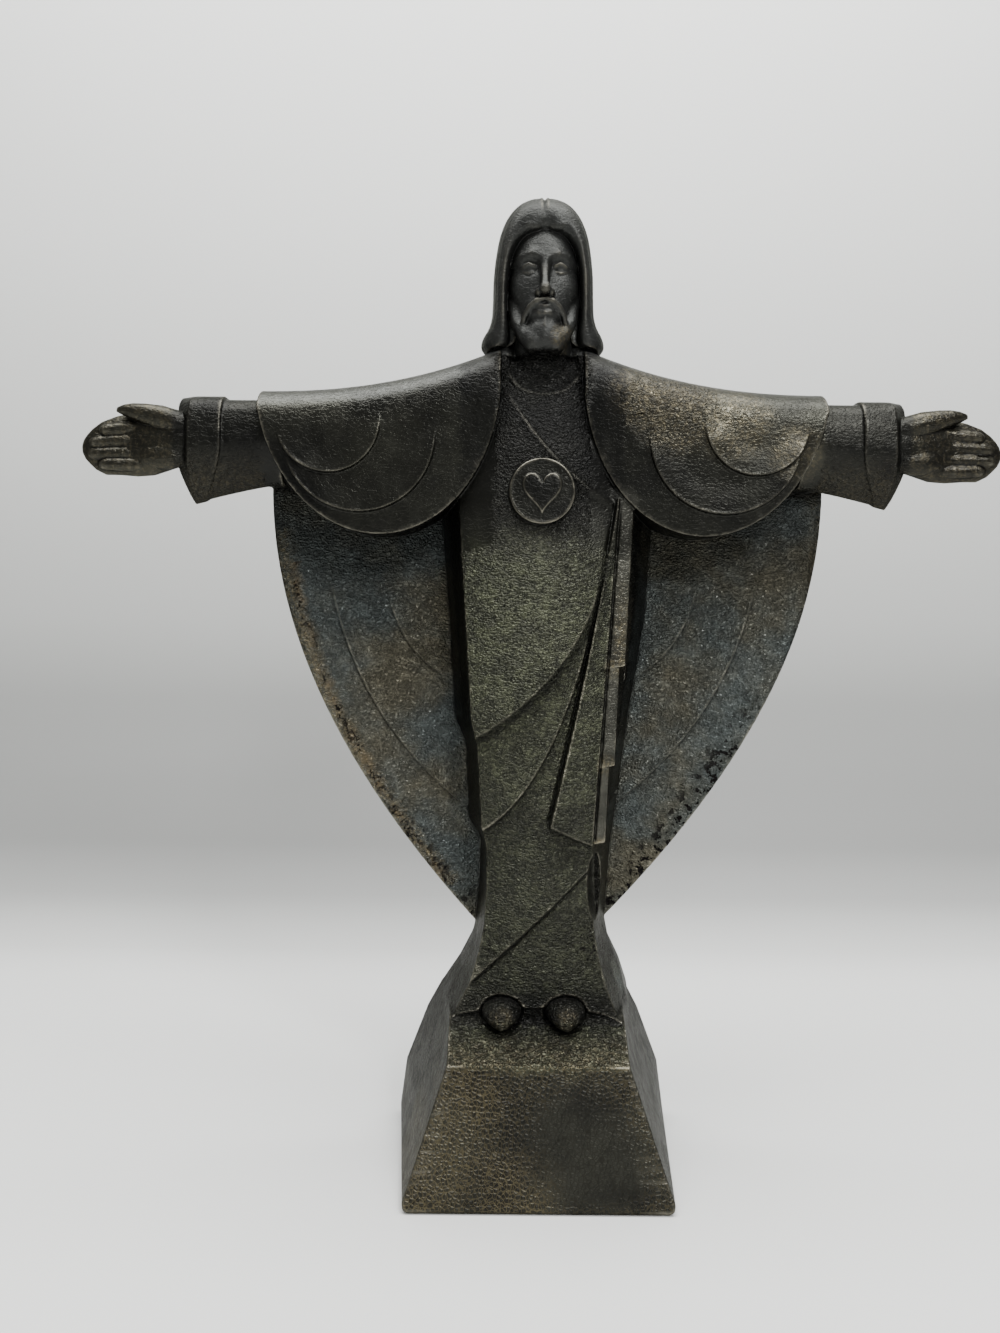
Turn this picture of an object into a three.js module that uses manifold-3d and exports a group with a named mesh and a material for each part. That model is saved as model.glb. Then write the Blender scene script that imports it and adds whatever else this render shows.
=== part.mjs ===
// A cast metal devotional figure with open arms and a wide cape, standing on a hewn block.
// The figure, its cape and the block were cast in one, so they are one solid.
// Millimetres, +Z up. The figure faces -Y, and +X is on the viewer's right.
// The origin is the middle of the block's underside.
import * as THREE from "three";
import { mergeVertices } from "three/addons/utils/BufferGeometryUtils.js";
import Module from "manifold-3d";

const wasm = await Module();
wasm.setup();

// Driving sizes
const BLOCK = {
  frontHalf: 46.8, // half width along the front of the underside
  backHalf: 54.5,
  frontY: -40,
  backY: 40,
  kneeZ: 22, // the back is upright to here, then leans in
  kneeHalf: 51.8,
  ledgeZ: 45.3, // front edge of the sloping ledge
  ledgeY: -28,
  ledgeHalf: 32,
  hemZ: 58, // the ledge ends at the robe's hem
  hemY: -8,
};
const CAPE = {
  frontY: 13,
  backY: 22,
  rimForward: 7, // how far the rim comes forward of the middle
  rim: 5, // thickness at the rim
  top: [104.5, 256], // half width and height where it leaves the sleeves
  bow: [106, 172],
  tip: [22, 84],
};
const MANTLE = {
  middle: 59.5, // centre of the half round cloth over each arm
  reach: 43,
  topZ: 286.5,
  neckRise: 16,
  drop: 57.6,
  dropFrom: 290,
  armEnd: 104.5,
  front: -16,
  back: 13.5,
};
const SLEEVE = { start: 96, topZ: 284.5, bottomZ: 251, cuffZ: 244.5, halfDepth: 13.5 };
const HAND = { wristX: 129, z: 266.5, y: -6 };
const HEAD = { x: 0, y: -3, z: 329 };
const MEDAL = { z: 247.7, radius: 11.7, groove: 10.2, frontY: -18.4, proud: 4.4, plate: 5 };
const FOOT = { places: [-12.9, 10.3], z: 59.2, y: -11.5, half: [6.6, 9, 6.2] };
const TOE = { lanes: [-4.4, -1.5, 1.5, 4.4], half: [1.7, 2.4, 2.6], forward: 6.8, below: 2 };

// The robe's folds. An edge is a bow of three points of [across, up].
const APRONS = [
  { edge: [[26, 243], [25, 186], [-24, 157.4]], lift: 2.6 },
  { edge: [[26, 242], [14, 146], [-20, 123.8]], lift: 1.5 },
];
const APRON_TOP = 262;
const WRAP = { edge: [[-13.6, 286], [2, 257], [26, 244.5]], lift: 1.1 };
const LONG_END = { top: 246, foot: 118.8, left: 27.6, right: 28.5, slant: 7.4, lift: 1.7 };
const SASH = { top: 121, foot: 70, lowX: -24, lowZ: 68.8, rise: 1.03, maxX: 19, lift: 0.9 };
const PLEATS = { inner: 17, top: 250, bedY: 10, flare: 4 };
const PLEAT_STEPS = [
  { foot: 118.8, half: [24.6, 30], frontY: -9.4 },
  { foot: 147, half: [27.8, 31.6], frontY: -10.2 },
  { foot: 183.5, half: [31.2, 34.2], frontY: -11 },
];
const POCKET = { top: 117.5, foot: 88.5, left: 19, right: 25.4, footX: 22.6, deep: 26, behindY: 5 };
// The cape's folds and the half round folds on the cloth over the arms.
const CAPE_FOLDS = [
  { edge: [[62, 226], [58, 191], [35, 179.5]], lift: 0.9 },
  { edge: [[83, 224], [74, 166], [29, 131]], lift: 0.7 },
];
const MANTLE_FOLDS = [
  { across: 66.5, height: 268, radius: 27.8, lift: 1.1 },
  { across: 77.5, height: 273, radius: 19, lift: 1.9 },
];
// The hood of hair beside the face: height, across, forward, half width, half depth.
const LOCK = [
  [350.5, 6.4, -6, 2.6, 5],
  [340, 12.4, -6.5, 4.4, 8.6],
  [328, 13.4, -5.5, 4.2, 9.4],
  [316, 13.8, -4.5, 4.1, 9.2],
  [310, 15.6, -4, 4.8, 8.6],
  [305.5, 17.8, -3.5, 4.6, 7.4],
  [302.4, 18.8, -3.2, 2.6, 5],
];

// The robe from the hem to the neck: height, half width of its front on the left and the
// right, half width where it meets the cape on the left and the right, front of the middle.
const ROBE = [
  [46, 30, 28, 33, 33, -7],
  [56.5, 30.5, 29, 34.5, 36, -10.5],
  [68, 24.8, 25, 28.5, 33, -11.5],
  [79, 21.8, 22.2, 24, 28.5, -12],
  [89, 19.6, 20.6, 22.8, 26.5, -12.5],
  [103, 18.8, 20, 21.7, 27.5, -13],
  [119, 19, 20, 21.4, 28.8, -13],
  [126, 20.8, 22, 26.3, 30, -13.2],
  [155, 22.6, 24.5, 27.4, 33.6, -13.6],
  [165, 24.9, 26, 31.9, 35, -13.8],
  [205, 27.4, 28.5, 34.6, 42, -14.2],
  [242, 30, 31, 38.3, 45, -15.2],
  [262, 29, 29, 40, 42, -16],
  [284, 22, 22, 30, 30, -13.5],
  [297, 13, 13, 20, 20, -9],
];
const ROBE_BORDER_Y = -8.5;
// Behind it: height, back, and how much wider the back is than the foot of the sides.
const ROBE_BACK = [
  [46, 34, 2],
  [56.5, 33.5, 2.2],
  [84, 26, 0],
  [110, 20.5, 0],
  [262, 20.5, -4],
  [284, 14, -6],
  [297, 8, -6],
];

const lerp = (a, b, t) => a + (b - a) * t;
const clamp = THREE.MathUtils.clamp;

// A row of a table of [height, ...values], with the values between its heights in between.
function rowAt(table, z) {
  let i = 0;
  while (i < table.length - 2 && z > table[i + 1][0]) i += 1;
  const t = clamp((z - table[i][0]) / (table[i + 1][0] - table[i][0]), 0, 1);
  return table[i].map((value, k) => lerp(value, table[i + 1][k], t));
}

// A point [across, up] of a bow of three points.
function bowAt([a, b, c], t) {
  const inner = 1 - t;
  return a.map((value, k) => inner * inner * value + 2 * inner * t * b[k] + t * t * c[k]);
}

// A blank whose points are moved by a map becomes a closed solid that faces out.
function shaped(blank, map) {
  const moved = blank.clone();
  const at = moved.getAttribute("position");
  for (let i = 0; i < at.count; i += 1) {
    at.setXYZ(i, ...map(at.getX(i), at.getY(i), at.getZ(i)));
  }
  moved.deleteAttribute("normal");
  moved.deleteAttribute("uv");
  const merged = mergeVertices(moved, 1e-3);
  const corners = merged.index.array;
  const faces = [];
  for (let i = 0; i < corners.length; i += 3) {
    const [a, b, c] = [corners[i], corners[i + 1], corners[i + 2]];
    if (a !== b && b !== c && c !== a) faces.push([a, b, c]);
  }
  const build = (list) =>
    new wasm.Manifold(
      new wasm.Mesh({
        numProp: 3,
        vertProperties: new Float32Array(merged.getAttribute("position").array),
        triVerts: new Uint32Array(list.flat()),
      }),
    );
  const made = build(faces);
  return made.volume() > 0 ? made : build(faces.map(([a, b, c]) => [a, c, b]));
}

// A box of cells, mapped from across, deep and up, each 0 to 1.
function boxForm(across, deep, up, map) {
  const blank = new THREE.BoxGeometry(1, 1, 1, across, deep, up);
  return shaped(blank, (x, y, z) => map(x + 0.5, y + 0.5, z + 0.5));
}

// A drum mapped from its length, 0 to 1, and the two coordinates of its unit circle.
function drumForm(sides, steps, map) {
  const blank = new THREE.CylinderGeometry(1, 1, 1, sides, steps);
  return shaped(blank, (x, y, z) => map(y + 0.5, x, z));
}

// A ball mapped from the three coordinates of its unit sphere, poles up and down.
function ballForm(around, rows, map) {
  return shaped(new THREE.SphereGeometry(1, around, rows), (x, y, z) => map(x, -z, y));
}

const moveBall = (centre, size) => (x, y, z) => [
  centre[0] + size[0] * x,
  centre[1] + size[1] * y,
  centre[2] + size[2] * z,
];

const fuse = (parts) => parts.reduce((whole, part) => whole.add(part));

// The hewn block: a front that leans back, a sloping ledge, and sides that lean in.
function block() {
  const rows = [
    [0, BLOCK.frontY, BLOCK.frontHalf, BLOCK.backY, BLOCK.backHalf],
    [BLOCK.kneeZ, 0, 0, BLOCK.backY, BLOCK.kneeHalf],
    [BLOCK.ledgeZ, BLOCK.ledgeY, BLOCK.ledgeHalf, 37, 43],
    [BLOCK.hemZ, BLOCK.hemY, BLOCK.ledgeHalf, 33.5, 37.5],
  ];
  const knee = BLOCK.kneeZ / BLOCK.ledgeZ;
  rows[1][1] = lerp(BLOCK.frontY, BLOCK.ledgeY, knee);
  rows[1][2] = lerp(BLOCK.frontHalf, BLOCK.ledgeHalf, knee);
  return boxForm(4, 3, rows.length - 1, (s, t, r) => {
    const [z, frontY, frontHalf, backY, backHalf] = rows[Math.round(r * (rows.length - 1))];
    const half = lerp(frontHalf, backHalf, t) - 1.2 * Math.sin(Math.PI * t) * (z > 0 ? 1 : 0);
    return [half * (2 * s - 1), lerp(frontY, backY, t), z];
  });
}

// Front of the robe at a place, gently rounded between its two borders.
function robeFront(x, z) {
  const [, left, right, , , middleY] = rowAt(ROBE, z);
  const share = clamp(Math.abs(x) / (x < 0 ? left : right), 0, 1);
  return lerp(middleY, ROBE_BORDER_Y, share * share);
}

function robe() {
  const across = 8;
  const heights = ROBE.map((row) => row[0]);
  return boxForm(across, 2, heights.length - 1, (s, t, r) => {
    const z = heights[Math.round(r * (heights.length - 1))];
    const [, left, right, footLeft, footRight] = rowAt(ROBE, z);
    const [, backY, wider] = rowAt(ROBE_BACK, z);
    const side = 2 * s - 1;
    const front = side * (side < 0 ? left : right);
    const foot = side * (side < 0 ? footLeft : footRight);
    if (t < 0.25) return [front, robeFront(front, z), z];
    if (t < 0.75) return [foot, Math.min(CAPE.frontY, backY - 2), z];
    return [foot + side * wider, backY, z];
  });
}

// A layer of cloth on the robe: rows from top to bottom, each with its left and right end.
function layer(rows, lift, bed, across = 4) {
  const count = rows.length - 1;
  return boxForm(across, 1, count, (s, t, r) => {
    const { z, left, right } = rows[Math.round((1 - r) * count)];
    const x = lerp(left, right, s);
    const zHere = z + (rows[count].slant || 0) * (r < 0.01 ? 1 - s : 0);
    return [x, t > 0.5 ? bed : robeFront(x, zHere) - lift * (rows[0].flush && r > 0.99 ? -0.3 : 1), zHere];
  });
}

// The folds over the front: two wrapped aprons, the long pointed end, the sash and the wrap.
function apron({ edge, lift }) {
  const steps = 8;
  const rows = [{ z: APRON_TOP, left: -28, right: edge[0][0] - 3, flush: true }];
  for (let i = 0; i <= steps; i += 1) {
    const [right, z] = bowAt(edge, (0.97 * i) / steps);
    const left = -rowAt(ROBE, z)[1];
    rows.push({ z, left, right: Math.max(right, left + 1) });
  }
  return layer(rows, lift, 0);
}

function longEnd() {
  const steps = 6;
  const rows = [];
  for (let i = 0; i <= steps; i += 1) {
    const drop = ((LONG_END.top - LONG_END.foot) * i) / steps;
    rows.push({
      z: LONG_END.top - drop,
      left: LONG_END.left - 0.155 * drop - 0.00036 * drop * drop,
      right: LONG_END.right - 0.067 * drop,
    });
  }
  rows[steps].slant = LONG_END.slant;
  return layer(rows, LONG_END.lift, 0);
}

function sash() {
  const steps = 5;
  const rows = [];
  for (let i = 0; i <= steps; i += 1) {
    const z = lerp(SASH.top, SASH.foot, i / steps);
    const left = -rowAt(ROBE, z)[1];
    const right = Math.min(SASH.lowX + (z - SASH.lowZ) * SASH.rise, SASH.maxX);
    rows.push({ z, left, right: Math.max(right, left + 1) });
  }
  return layer(rows, SASH.lift, 0);
}

function wrap() {
  const steps = 4;
  const rows = [];
  for (let i = 0; i <= steps; i += 1) {
    const [right, z] = bowAt(WRAP.edge, i / steps);
    rows.push({ z, left: -rowAt(ROBE, z)[1], right });
  }
  return layer(rows, WRAP.lift, 0);
}

// An upright pleat at the side. Each lies on the one below it and ends above it.
function pleat({ foot, half, frontY }) {
  return boxForm(1, 1, 1, (s, t, r) => {
    const outer = lerp(half[0], half[1], r) + (t > 0.5 ? PLEATS.flare : 0);
    const z = lerp(foot, PLEATS.top, r) - (t > 0.5 ? 1.5 * (1 - r) : 0);
    return [s < 0.5 ? PLEATS.inner : outer, t < 0.5 ? frontY : PLEATS.bedY, z];
  });
}

// The dark pocket under the last pleat.
function pocket() {
  const { top, foot, left, right, footX, deep, behindY } = POCKET;
  const outline = new THREE.Shape();
  outline.moveTo(left + 1, top);
  outline.quadraticCurveTo(left - 1.4, (top + foot) / 2, footX, foot);
  outline.quadraticCurveTo(right + 1.8, (top + foot) / 2, right, top);
  const blank = new THREE.ExtrudeGeometry(outline, { depth: deep, bevelEnabled: false, curveSegments: 5 });
  return shaped(blank, (x, z, y) => [x, y - deep + behindY, z]);
}

// Front and back of the cape at a distance from the middle: the rim comes forward.
function capeFront(x) {
  const share = clamp((x - 25) / 75, 0, 1);
  return CAPE.frontY - CAPE.rimForward * share * share;
}

function capeBack(x) {
  const share = clamp((x - 25) / 75, 0, 1);
  const spine = 1.5 * Math.cos(Math.min(Math.max(x, 0) / 30, Math.PI / 2));
  return lerp(CAPE.backY + spine, capeFront(100) + CAPE.rim, share * share);
}

// One half of the cape, from inside the body out to the rim.
function capeHalf(side) {
  const across = 7;
  const up = 11;
  const widen = side < 0 ? 0.975 : 1.03;
  return boxForm(across, 1, up, (s, t, r) => {
    const edge = bowAt([CAPE.tip, CAPE.bow, CAPE.top], r);
    const rise = r ** 3 * (1 - s) ** 1.5;
    const x = lerp(-2, edge[0] * widen, s);
    const back = capeBack(x) - 9 * rise - (r > 0.99 ? 3 * s : 0);
    return [side * x, t > 0.5 ? back : capeFront(x) - 6 * rise, edge[1] + 32 * rise];
  });
}

// A raised stretch of the cape between the body and a bowed fold line.
function capeFold(side, bow, lift) {
  const widen = side < 0 ? 0.98 : 1.02;
  return boxForm(4, 1, 7, (s, t, r) => {
    const edge = bowAt(bow, 1 - r);
    const x = lerp(12, edge[0] * widen, s);
    return [side * x, capeFront(x) + (t > 0.5 ? 4 : -lift * lerp(1, 0.25, r)), edge[1]];
  });
}

// Top line of the cloth over an arm, from its end at the sleeve to the neck.
function mantleTop(x) {
  const share = clamp((MANTLE.armEnd - x) / 88, 0, 1);
  return MANTLE.topZ + MANTLE.neckRise * share ** 2.3;
}

// Front of the cloth over an arm: it rolls over the top and hangs straight below.
function mantleFront(x, z) {
  const down = clamp(mantleTop(x) - z, 0, 60);
  const roll = Math.sqrt(1 - (1 - clamp(down / 13, 0.02, 1)) ** 2);
  const lean = 4.5 * clamp((down - 18) / 40, 0, 1);
  return MANTLE.front * roll + lean;
}

// The half round cloth over one arm, from a ring of points at each step along the arm.
function mantle(side) {
  const steps = 15;
  const fronts = 8;
  const ring = 16;
  return drumForm(ring, steps, (along, u, v) => {
    const turn = Math.PI * lerp(0.06, 0.97, along);
    const x = MANTLE.middle + MANTLE.reach * Math.cos(turn) + (along < 0.01 ? 1.5 : 0);
    const top = mantleTop(x);
    const hem = Math.min(MANTLE.dropFrom - MANTLE.drop * Math.sin(turn), top - 10);
    if (Math.hypot(u, v) < 0.5) return [side * x, 0, lerp(top, hem, 0.5)];
    const place = Math.round(((Math.atan2(u, v) / (2 * Math.PI) + 1) % 1) * ring);
    const backY = Math.max(MANTLE.back, capeBack(x) - 0.8);
    if (place <= fronts) {
      const z = lerp(top, hem, (place / fronts) ** 1.25);
      return [side * x, place === 0 ? 0 : mantleFront(x, z), z];
    }
    if (place === fronts + 1) return [side * x, 6, hem + 2.5];
    const climb = (place - fronts - 2) / (ring - fronts - 2);
    const z = lerp(hem + 2.5, top, climb ** 0.7);
    const roll = Math.sqrt(1 - clamp((z - (top - 17)) / 17, 0, 1) ** 2);
    return [side * x, backY * roll, z];
  });
}

// A raised round fold on the cloth: full at its lower edge, fading into the cloth above.
function mantleFold(side, across, height, radius, lift) {
  const profile = [0, 0.45, 0.8, 1].map((r) => new THREE.Vector2(r, 1));
  profile.push(new THREE.Vector2(1, 0), new THREE.Vector2(0, 0));
  const blank = new THREE.LatheGeometry(profile, 16);
  return shaped(blank, (u, deep, v) => {
    const x = across + radius * u;
    const z = height + radius * v * (v > 0 ? 0.2 : 1);
    const share = clamp(1 - 1.8 * Math.max(0, v + 0.75) + 0.9 * Math.max(0, u), -0.8, 1);
    const front = mantleFront(x, z) - lift * share;
    return [side * x, deep > 0.5 ? front : -3, z];
  });
}

// A sleeve and its cuff: rounded sections along the arm that grow deeper towards the cuff.
function sleeve(side) {
  const sections = [
    [SLEEVE.start, 0, 0.96],
    [106, 0.12, 0.97],
    [116.4, 0.5, 0.97],
    [116.8, 0.5, 1.03],
    [127.5, 1, 1.06],
    [133.6, 1, 0.98],
  ];
  return drumForm(14, sections.length - 1, (along, u, v) => {
    const [x, sag, swell] = sections[Math.round(along * (sections.length - 1))];
    const bottom = lerp(SLEEVE.bottomZ, SLEEVE.cuffZ, sag);
    const middle = (SLEEVE.topZ + bottom) / 2;
    const half = (SLEEVE.topZ - bottom) / 2;
    const square = 1 / Math.max(Math.abs(u) ** 3 + Math.abs(v) ** 3, 1e-6) ** (1 / 3);
    const k = Math.hypot(u, v) < 0.5 ? 0 : square;
    const lean = along > 0.99 ? -3.2 * clamp(-v, 0, 1) : 0;
    const wrap = Math.abs(x - 116.6) < 0.3 ? 6 * clamp(-v, 0, 1) ** 2 : 0;
    return [side * (x + lean + wrap), -SLEEVE.halfDepth * swell * k * u, middle + half * k * v];
  });
}

// A rounded bar between two points, with its own thickness at each end.
function bar(from, to, radii, sides = 6) {
  const a = new THREE.Vector3(...from);
  const b = new THREE.Vector3(...to);
  const axis = b.clone().sub(a).normalize();
  const up = new THREE.Vector3(0, -1, 0);
  const flank = new THREE.Vector3().crossVectors(axis, up).normalize();
  const rings = [0, 0.12, 0.5, 0.88, 1];
  const swell = [0.55, 0.95, 1, 0.95, 0.5];
  return drumForm(sides, rings.length - 1, (along, u, v) => {
    const k = Math.round(along * (rings.length - 1));
    const radius = lerp(radii[0], radii[1], rings[k]) * swell[k];
    const point = a.clone().lerp(b, rings[k]);
    point.addScaledVector(flank, radius * u).addScaledVector(up, radius * v);
    return point.toArray();
  });
}

// An open hand, its palm to the front, four fingers pointing out and the thumb on top.
function hand(side) {
  const palm = drumForm(12, 4, (along, u, v) => {
    const x = lerp(HAND.wristX - 4, 153, along);
    const half = [9.5, 9.5, 11.2, 12, 11][Math.round(along * 4)];
    const deep = [7, 6.4, 5.6, 5, 4.4][Math.round(along * 4)];
    return [side * x, HAND.y + deep * u, HAND.z - 0.5 + half * v];
  });
  const fingers = [
    { z: 7.4, tip: 162.5, thick: 2.9 },
    { z: 2.2, tip: 167.6, thick: 3.1 },
    { z: -3.2, tip: 168.8, thick: 3.1 },
    { z: -8.4, tip: 164.5, thick: 2.8 },
  ].map(({ z, tip, thick }) =>
    bar(
      [side * 148, HAND.y + 0.4, HAND.z + z],
      [side * tip, HAND.y - 2.4, HAND.z + z * 0.86 - 1],
      [thick, thick * 0.82],
    ),
  );
  const ball = bar([side * 133, HAND.y - 2, 271], [side * 146, HAND.y - 4, 274], [5.2, 4.2]);
  const thumb = bar([side * 143, HAND.y - 3.4, 276.6], [side * 156, HAND.y - 4, 277.8], [3.2, 2.1]);
  return fuse([palm, ball, thumb, ...fingers]);
}

// The head is blended from rounded lumps and hollows, and read outwards from its middle.
const lump = (x, y, z, a, b, c) => ({ x, y, z, a, b, c });

function lumpDistance(l, x, y, z) {
  const [px, py, pz] = [(x - l.x) / l.a, (y - l.y) / l.b, (z - l.z) / l.c];
  const near = Math.hypot(px, py, pz);
  const slope = Math.hypot(px / l.a, py / l.b, pz / l.c);
  return slope < 1e-9 ? -Math.min(l.a, l.b, l.c) : (near * (near - 1)) / slope;
}

function blend(a, b, width) {
  const h = clamp(0.5 + (0.5 * (b - a)) / width, 0, 1);
  return lerp(b, a, h) - width * h * (1 - h);
}

const HAIR = [
  lump(0, 1, 335.5, 16.8, 18.6, 22.8),
  lump(0, 4, 318, 16.6, 11.5, 20),
];
const FACE = [
  lump(0, -4.6, 330, 13.2, 13.8, 19),
  lump(0, -7.5, 316.5, 10.8, 11.6, 12.5),
];
const FEATURES = [
  lump(0, -17, 334.4, 8.6, 2.3, 2),
  lump(0, -19.6, 326.5, 1.6, 2.6, 7.6),
  lump(0, -21.2, 321.2, 2.7, 2.8, 2.3),
  lump(-6.8, -13.4, 323.5, 4.2, 3.8, 4.2),
  lump(6.8, -13.4, 323.5, 4.2, 3.8, 4.2),
  lump(0, -18.6, 313.2, 3.6, 2, 1.7),
  lump(-3.6, -16.2, 305.4, 3.9, 3.8, 5.2),
  lump(3.6, -16.2, 305.4, 3.9, 3.8, 5.2),
  lump(-3.4, -18.4, 316, 3.8, 2, 1.7),
  lump(3.4, -18.4, 316, 3.8, 2, 1.7),
];
const SOCKETS = [lump(-5.6, -20.4, 329.4, 3.6, 3, 2.6), lump(5.6, -20.4, 329.4, 3.6, 3, 2.6)];
const EYES = [lump(-5.5, -15.6, 329, 2.7, 2.4, 1.9), lump(5.5, -15.6, 329, 2.7, 2.4, 1.9)];
const OPENING = lump(0, -22, 325, 13, 13.5, 22);
const PART_LINE = lump(0, -8, 361, 1.2, 24, 4.4);

function headDistance(x, y, z) {
  let hair = 99;
  for (const l of HAIR) hair = blend(hair, lumpDistance(l, x, y, z), 5);
  hair = -blend(-hair, lumpDistance(OPENING, x, y, z), 0.6);
  hair = -blend(-hair, lumpDistance(PART_LINE, x, y, z), 0.8);
  let face = 99;
  for (const l of FACE) face = blend(face, lumpDistance(l, x, y, z), 4);
  for (const l of SOCKETS) face = -blend(-face, lumpDistance(l, x, y, z), 1.6);
  for (const l of FEATURES) face = blend(face, lumpDistance(l, x, y, z), 1.8);
  for (const l of EYES) face = blend(face, lumpDistance(l, x, y, z), 0.4);
  return Math.min(hair, face);
}

function head() {
  const far = 42;
  return ballForm(36, 28, (u, v, w) => {
    const turn = Math.atan2(u, -v);
    const gathered = turn - 0.62 * Math.sin(turn);
    const level = Math.hypot(u, v);
    const direction = [level * Math.sin(gathered), -level * Math.cos(gathered), w];
    let reach = far;
    for (let step = 0; step < 60; step += 1) {
      const gap = headDistance(
        HEAD.x + direction[0] * reach,
        HEAD.y + direction[1] * reach,
        HEAD.z + direction[2] * reach,
      );
      if (Math.abs(gap) < 0.02) break;
      reach = Math.max(reach - 0.7 * gap, 3);
    }
    return [
      HEAD.x + direction[0] * reach,
      HEAD.y + direction[1] * reach,
      HEAD.z + direction[2] * reach,
    ];
  });
}

// The smooth lock that frames the face on one side and turns out over the shoulder.
function lock(side) {
  return drumForm(12, LOCK.length - 1, (along, u, v) => {
    const [z, x, y, half, deep] = LOCK[Math.round(along * (LOCK.length - 1))];
    return [side * (x + half * u), y + deep * v, z + 1.5 * u];
  });
}

function neckAndCollar() {
  const yoke = ballForm(16, 10, moveBall([0, 2, 284], [27, 15, 17.5]));
  const neck = drumForm(14, 2, (along, u, v) => {
    const z = lerp(282, 312, along);
    const half = [12.5, 10, 10][Math.round(along * 2)];
    return [half * u, -3.5 + half * 0.95 * v, z];
  });
  const ring = shaped(new THREE.TorusGeometry(12.6, 1.5, 5, 20), (x, y, z) => {
    const lean = 0.62 * y;
    return [x, y * 0.95 - 3, 291 + z + lean];
  });
  return fuse([yoke, neck, ring]);
}

// The heart on its round medal, inside a thin raised rim.
function medal() {
  const rimProfile = [
    [MEDAL.groove, 0],
    [MEDAL.radius + 0.6, 0],
    [MEDAL.radius, MEDAL.proud],
    [MEDAL.groove + 0.4, MEDAL.proud],
    [MEDAL.groove, 3.2],
    [MEDAL.groove, 0],
  ].map(([r, y]) => new THREE.Vector2(r, y));
  const onChest = (x, y, z) => [x, MEDAL.frontY + MEDAL.proud - y, MEDAL.z + z];
  const rim = shaped(new THREE.LatheGeometry(rimProfile, 28), onChest);
  const plateRadius = MEDAL.groove + 0.6;
  const plateBlank = new THREE.CylinderGeometry(plateRadius, plateRadius, MEDAL.plate, 28);
  const plate = shaped(plateBlank, onChest).translate([0, -0.9, 0]);
  const domeProfile = [0, 0.5, 0.85, 1].map((r) => new THREE.Vector2(r, 1 - 0.75 * r ** 3));
  domeProfile.push(new THREE.Vector2(1, -0.5), new THREE.Vector2(0, -0.5));
  const dome = new THREE.LatheGeometry(domeProfile, 32);
  const heart = shaped(dome, (u, rise, v) => {
    const turn = Math.atan2(u, v);
    const out = Math.hypot(u, v);
    const across = Math.sin(turn) ** 3;
    const waves = [13, -5, -2, -1].map((size, k) => size * Math.cos((k + 1) * turn));
    const up = waves.reduce((sum, wave) => sum + wave) / 15;
    return [7.6 * out * across, MEDAL.frontY + 1.6 - 3.2 * rise, MEDAL.z + 1 + 7.6 * out * up];
  });
  return fuse([rim, plate, heart]);
}

function feet() {
  const parts = [];
  for (const place of FOOT.places) {
    parts.push(ballForm(12, 7, moveBall([place, FOOT.y, FOOT.z], FOOT.half)));
    for (const lane of TOE.lanes) {
      const forward = TOE.forward - Math.abs(lane) * 0.5;
      parts.push(ballForm(6, 4, moveBall([place + lane, FOOT.y - forward, FOOT.z - TOE.below], TOE.half)));
    }
  }
  return fuse(parts);
}

function figure() {
  const parts = [block(), robe(), neckAndCollar(), head(), medal(), feet()];
  parts.push(...APRONS.map(apron), longEnd(), ...PLEAT_STEPS.map(pleat), sash(), wrap());
  for (const side of [-1, 1]) {
    parts.push(capeHalf(side), mantle(side), sleeve(side), hand(side), lock(side));
    for (const { edge, lift } of CAPE_FOLDS) parts.push(capeFold(side, edge, lift));
    for (const { across, height, radius, lift } of MANTLE_FOLDS) {
      parts.push(mantleFold(side, across, height, radius, lift));
    }
  }
  return fuse(parts).subtract(pocket());
}

function geometryOf(solid) {
  const { vertProperties, triVerts } = solid.getMesh();
  const geometry = new THREE.BufferGeometry();
  geometry.setAttribute("position", new THREE.BufferAttribute(vertProperties, 3));
  geometry.setIndex(new THREE.BufferAttribute(triVerts, 1));
  geometry.computeVertexNormals();
  return geometry;
}

const darkBronze = new THREE.MeshStandardMaterial({ color: 0x3d3a30, roughness: 0.45, metalness: 0.9 });

const root = new THREE.Group();
const figurine = new THREE.Mesh(geometryOf(figure()), darkBronze);
figurine.name = "figurine";
root.add(figurine);

export default root;
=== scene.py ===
"""A cast metal devotional figure with open arms and a wide cape, on a hewn block.

The casting is modelled as overlapping closed forms in millimetres, melted together into one
skin, chased with fine relief, and finished with a dark hammered patina.
"""

import math

import bmesh
import bpy
import numpy as np
from mathutils import Euler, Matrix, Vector


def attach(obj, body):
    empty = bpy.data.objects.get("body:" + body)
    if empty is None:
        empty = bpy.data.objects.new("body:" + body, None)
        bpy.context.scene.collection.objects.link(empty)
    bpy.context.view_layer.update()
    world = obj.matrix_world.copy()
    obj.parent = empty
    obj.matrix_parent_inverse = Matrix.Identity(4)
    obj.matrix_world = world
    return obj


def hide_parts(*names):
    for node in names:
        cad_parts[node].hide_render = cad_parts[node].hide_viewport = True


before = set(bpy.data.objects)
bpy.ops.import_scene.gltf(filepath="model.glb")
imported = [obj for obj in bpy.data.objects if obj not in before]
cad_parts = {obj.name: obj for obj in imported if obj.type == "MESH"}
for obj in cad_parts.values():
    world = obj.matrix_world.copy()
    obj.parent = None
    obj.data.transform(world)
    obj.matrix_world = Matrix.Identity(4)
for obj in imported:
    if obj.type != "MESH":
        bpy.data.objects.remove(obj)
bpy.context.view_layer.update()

MM = 0.001

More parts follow.
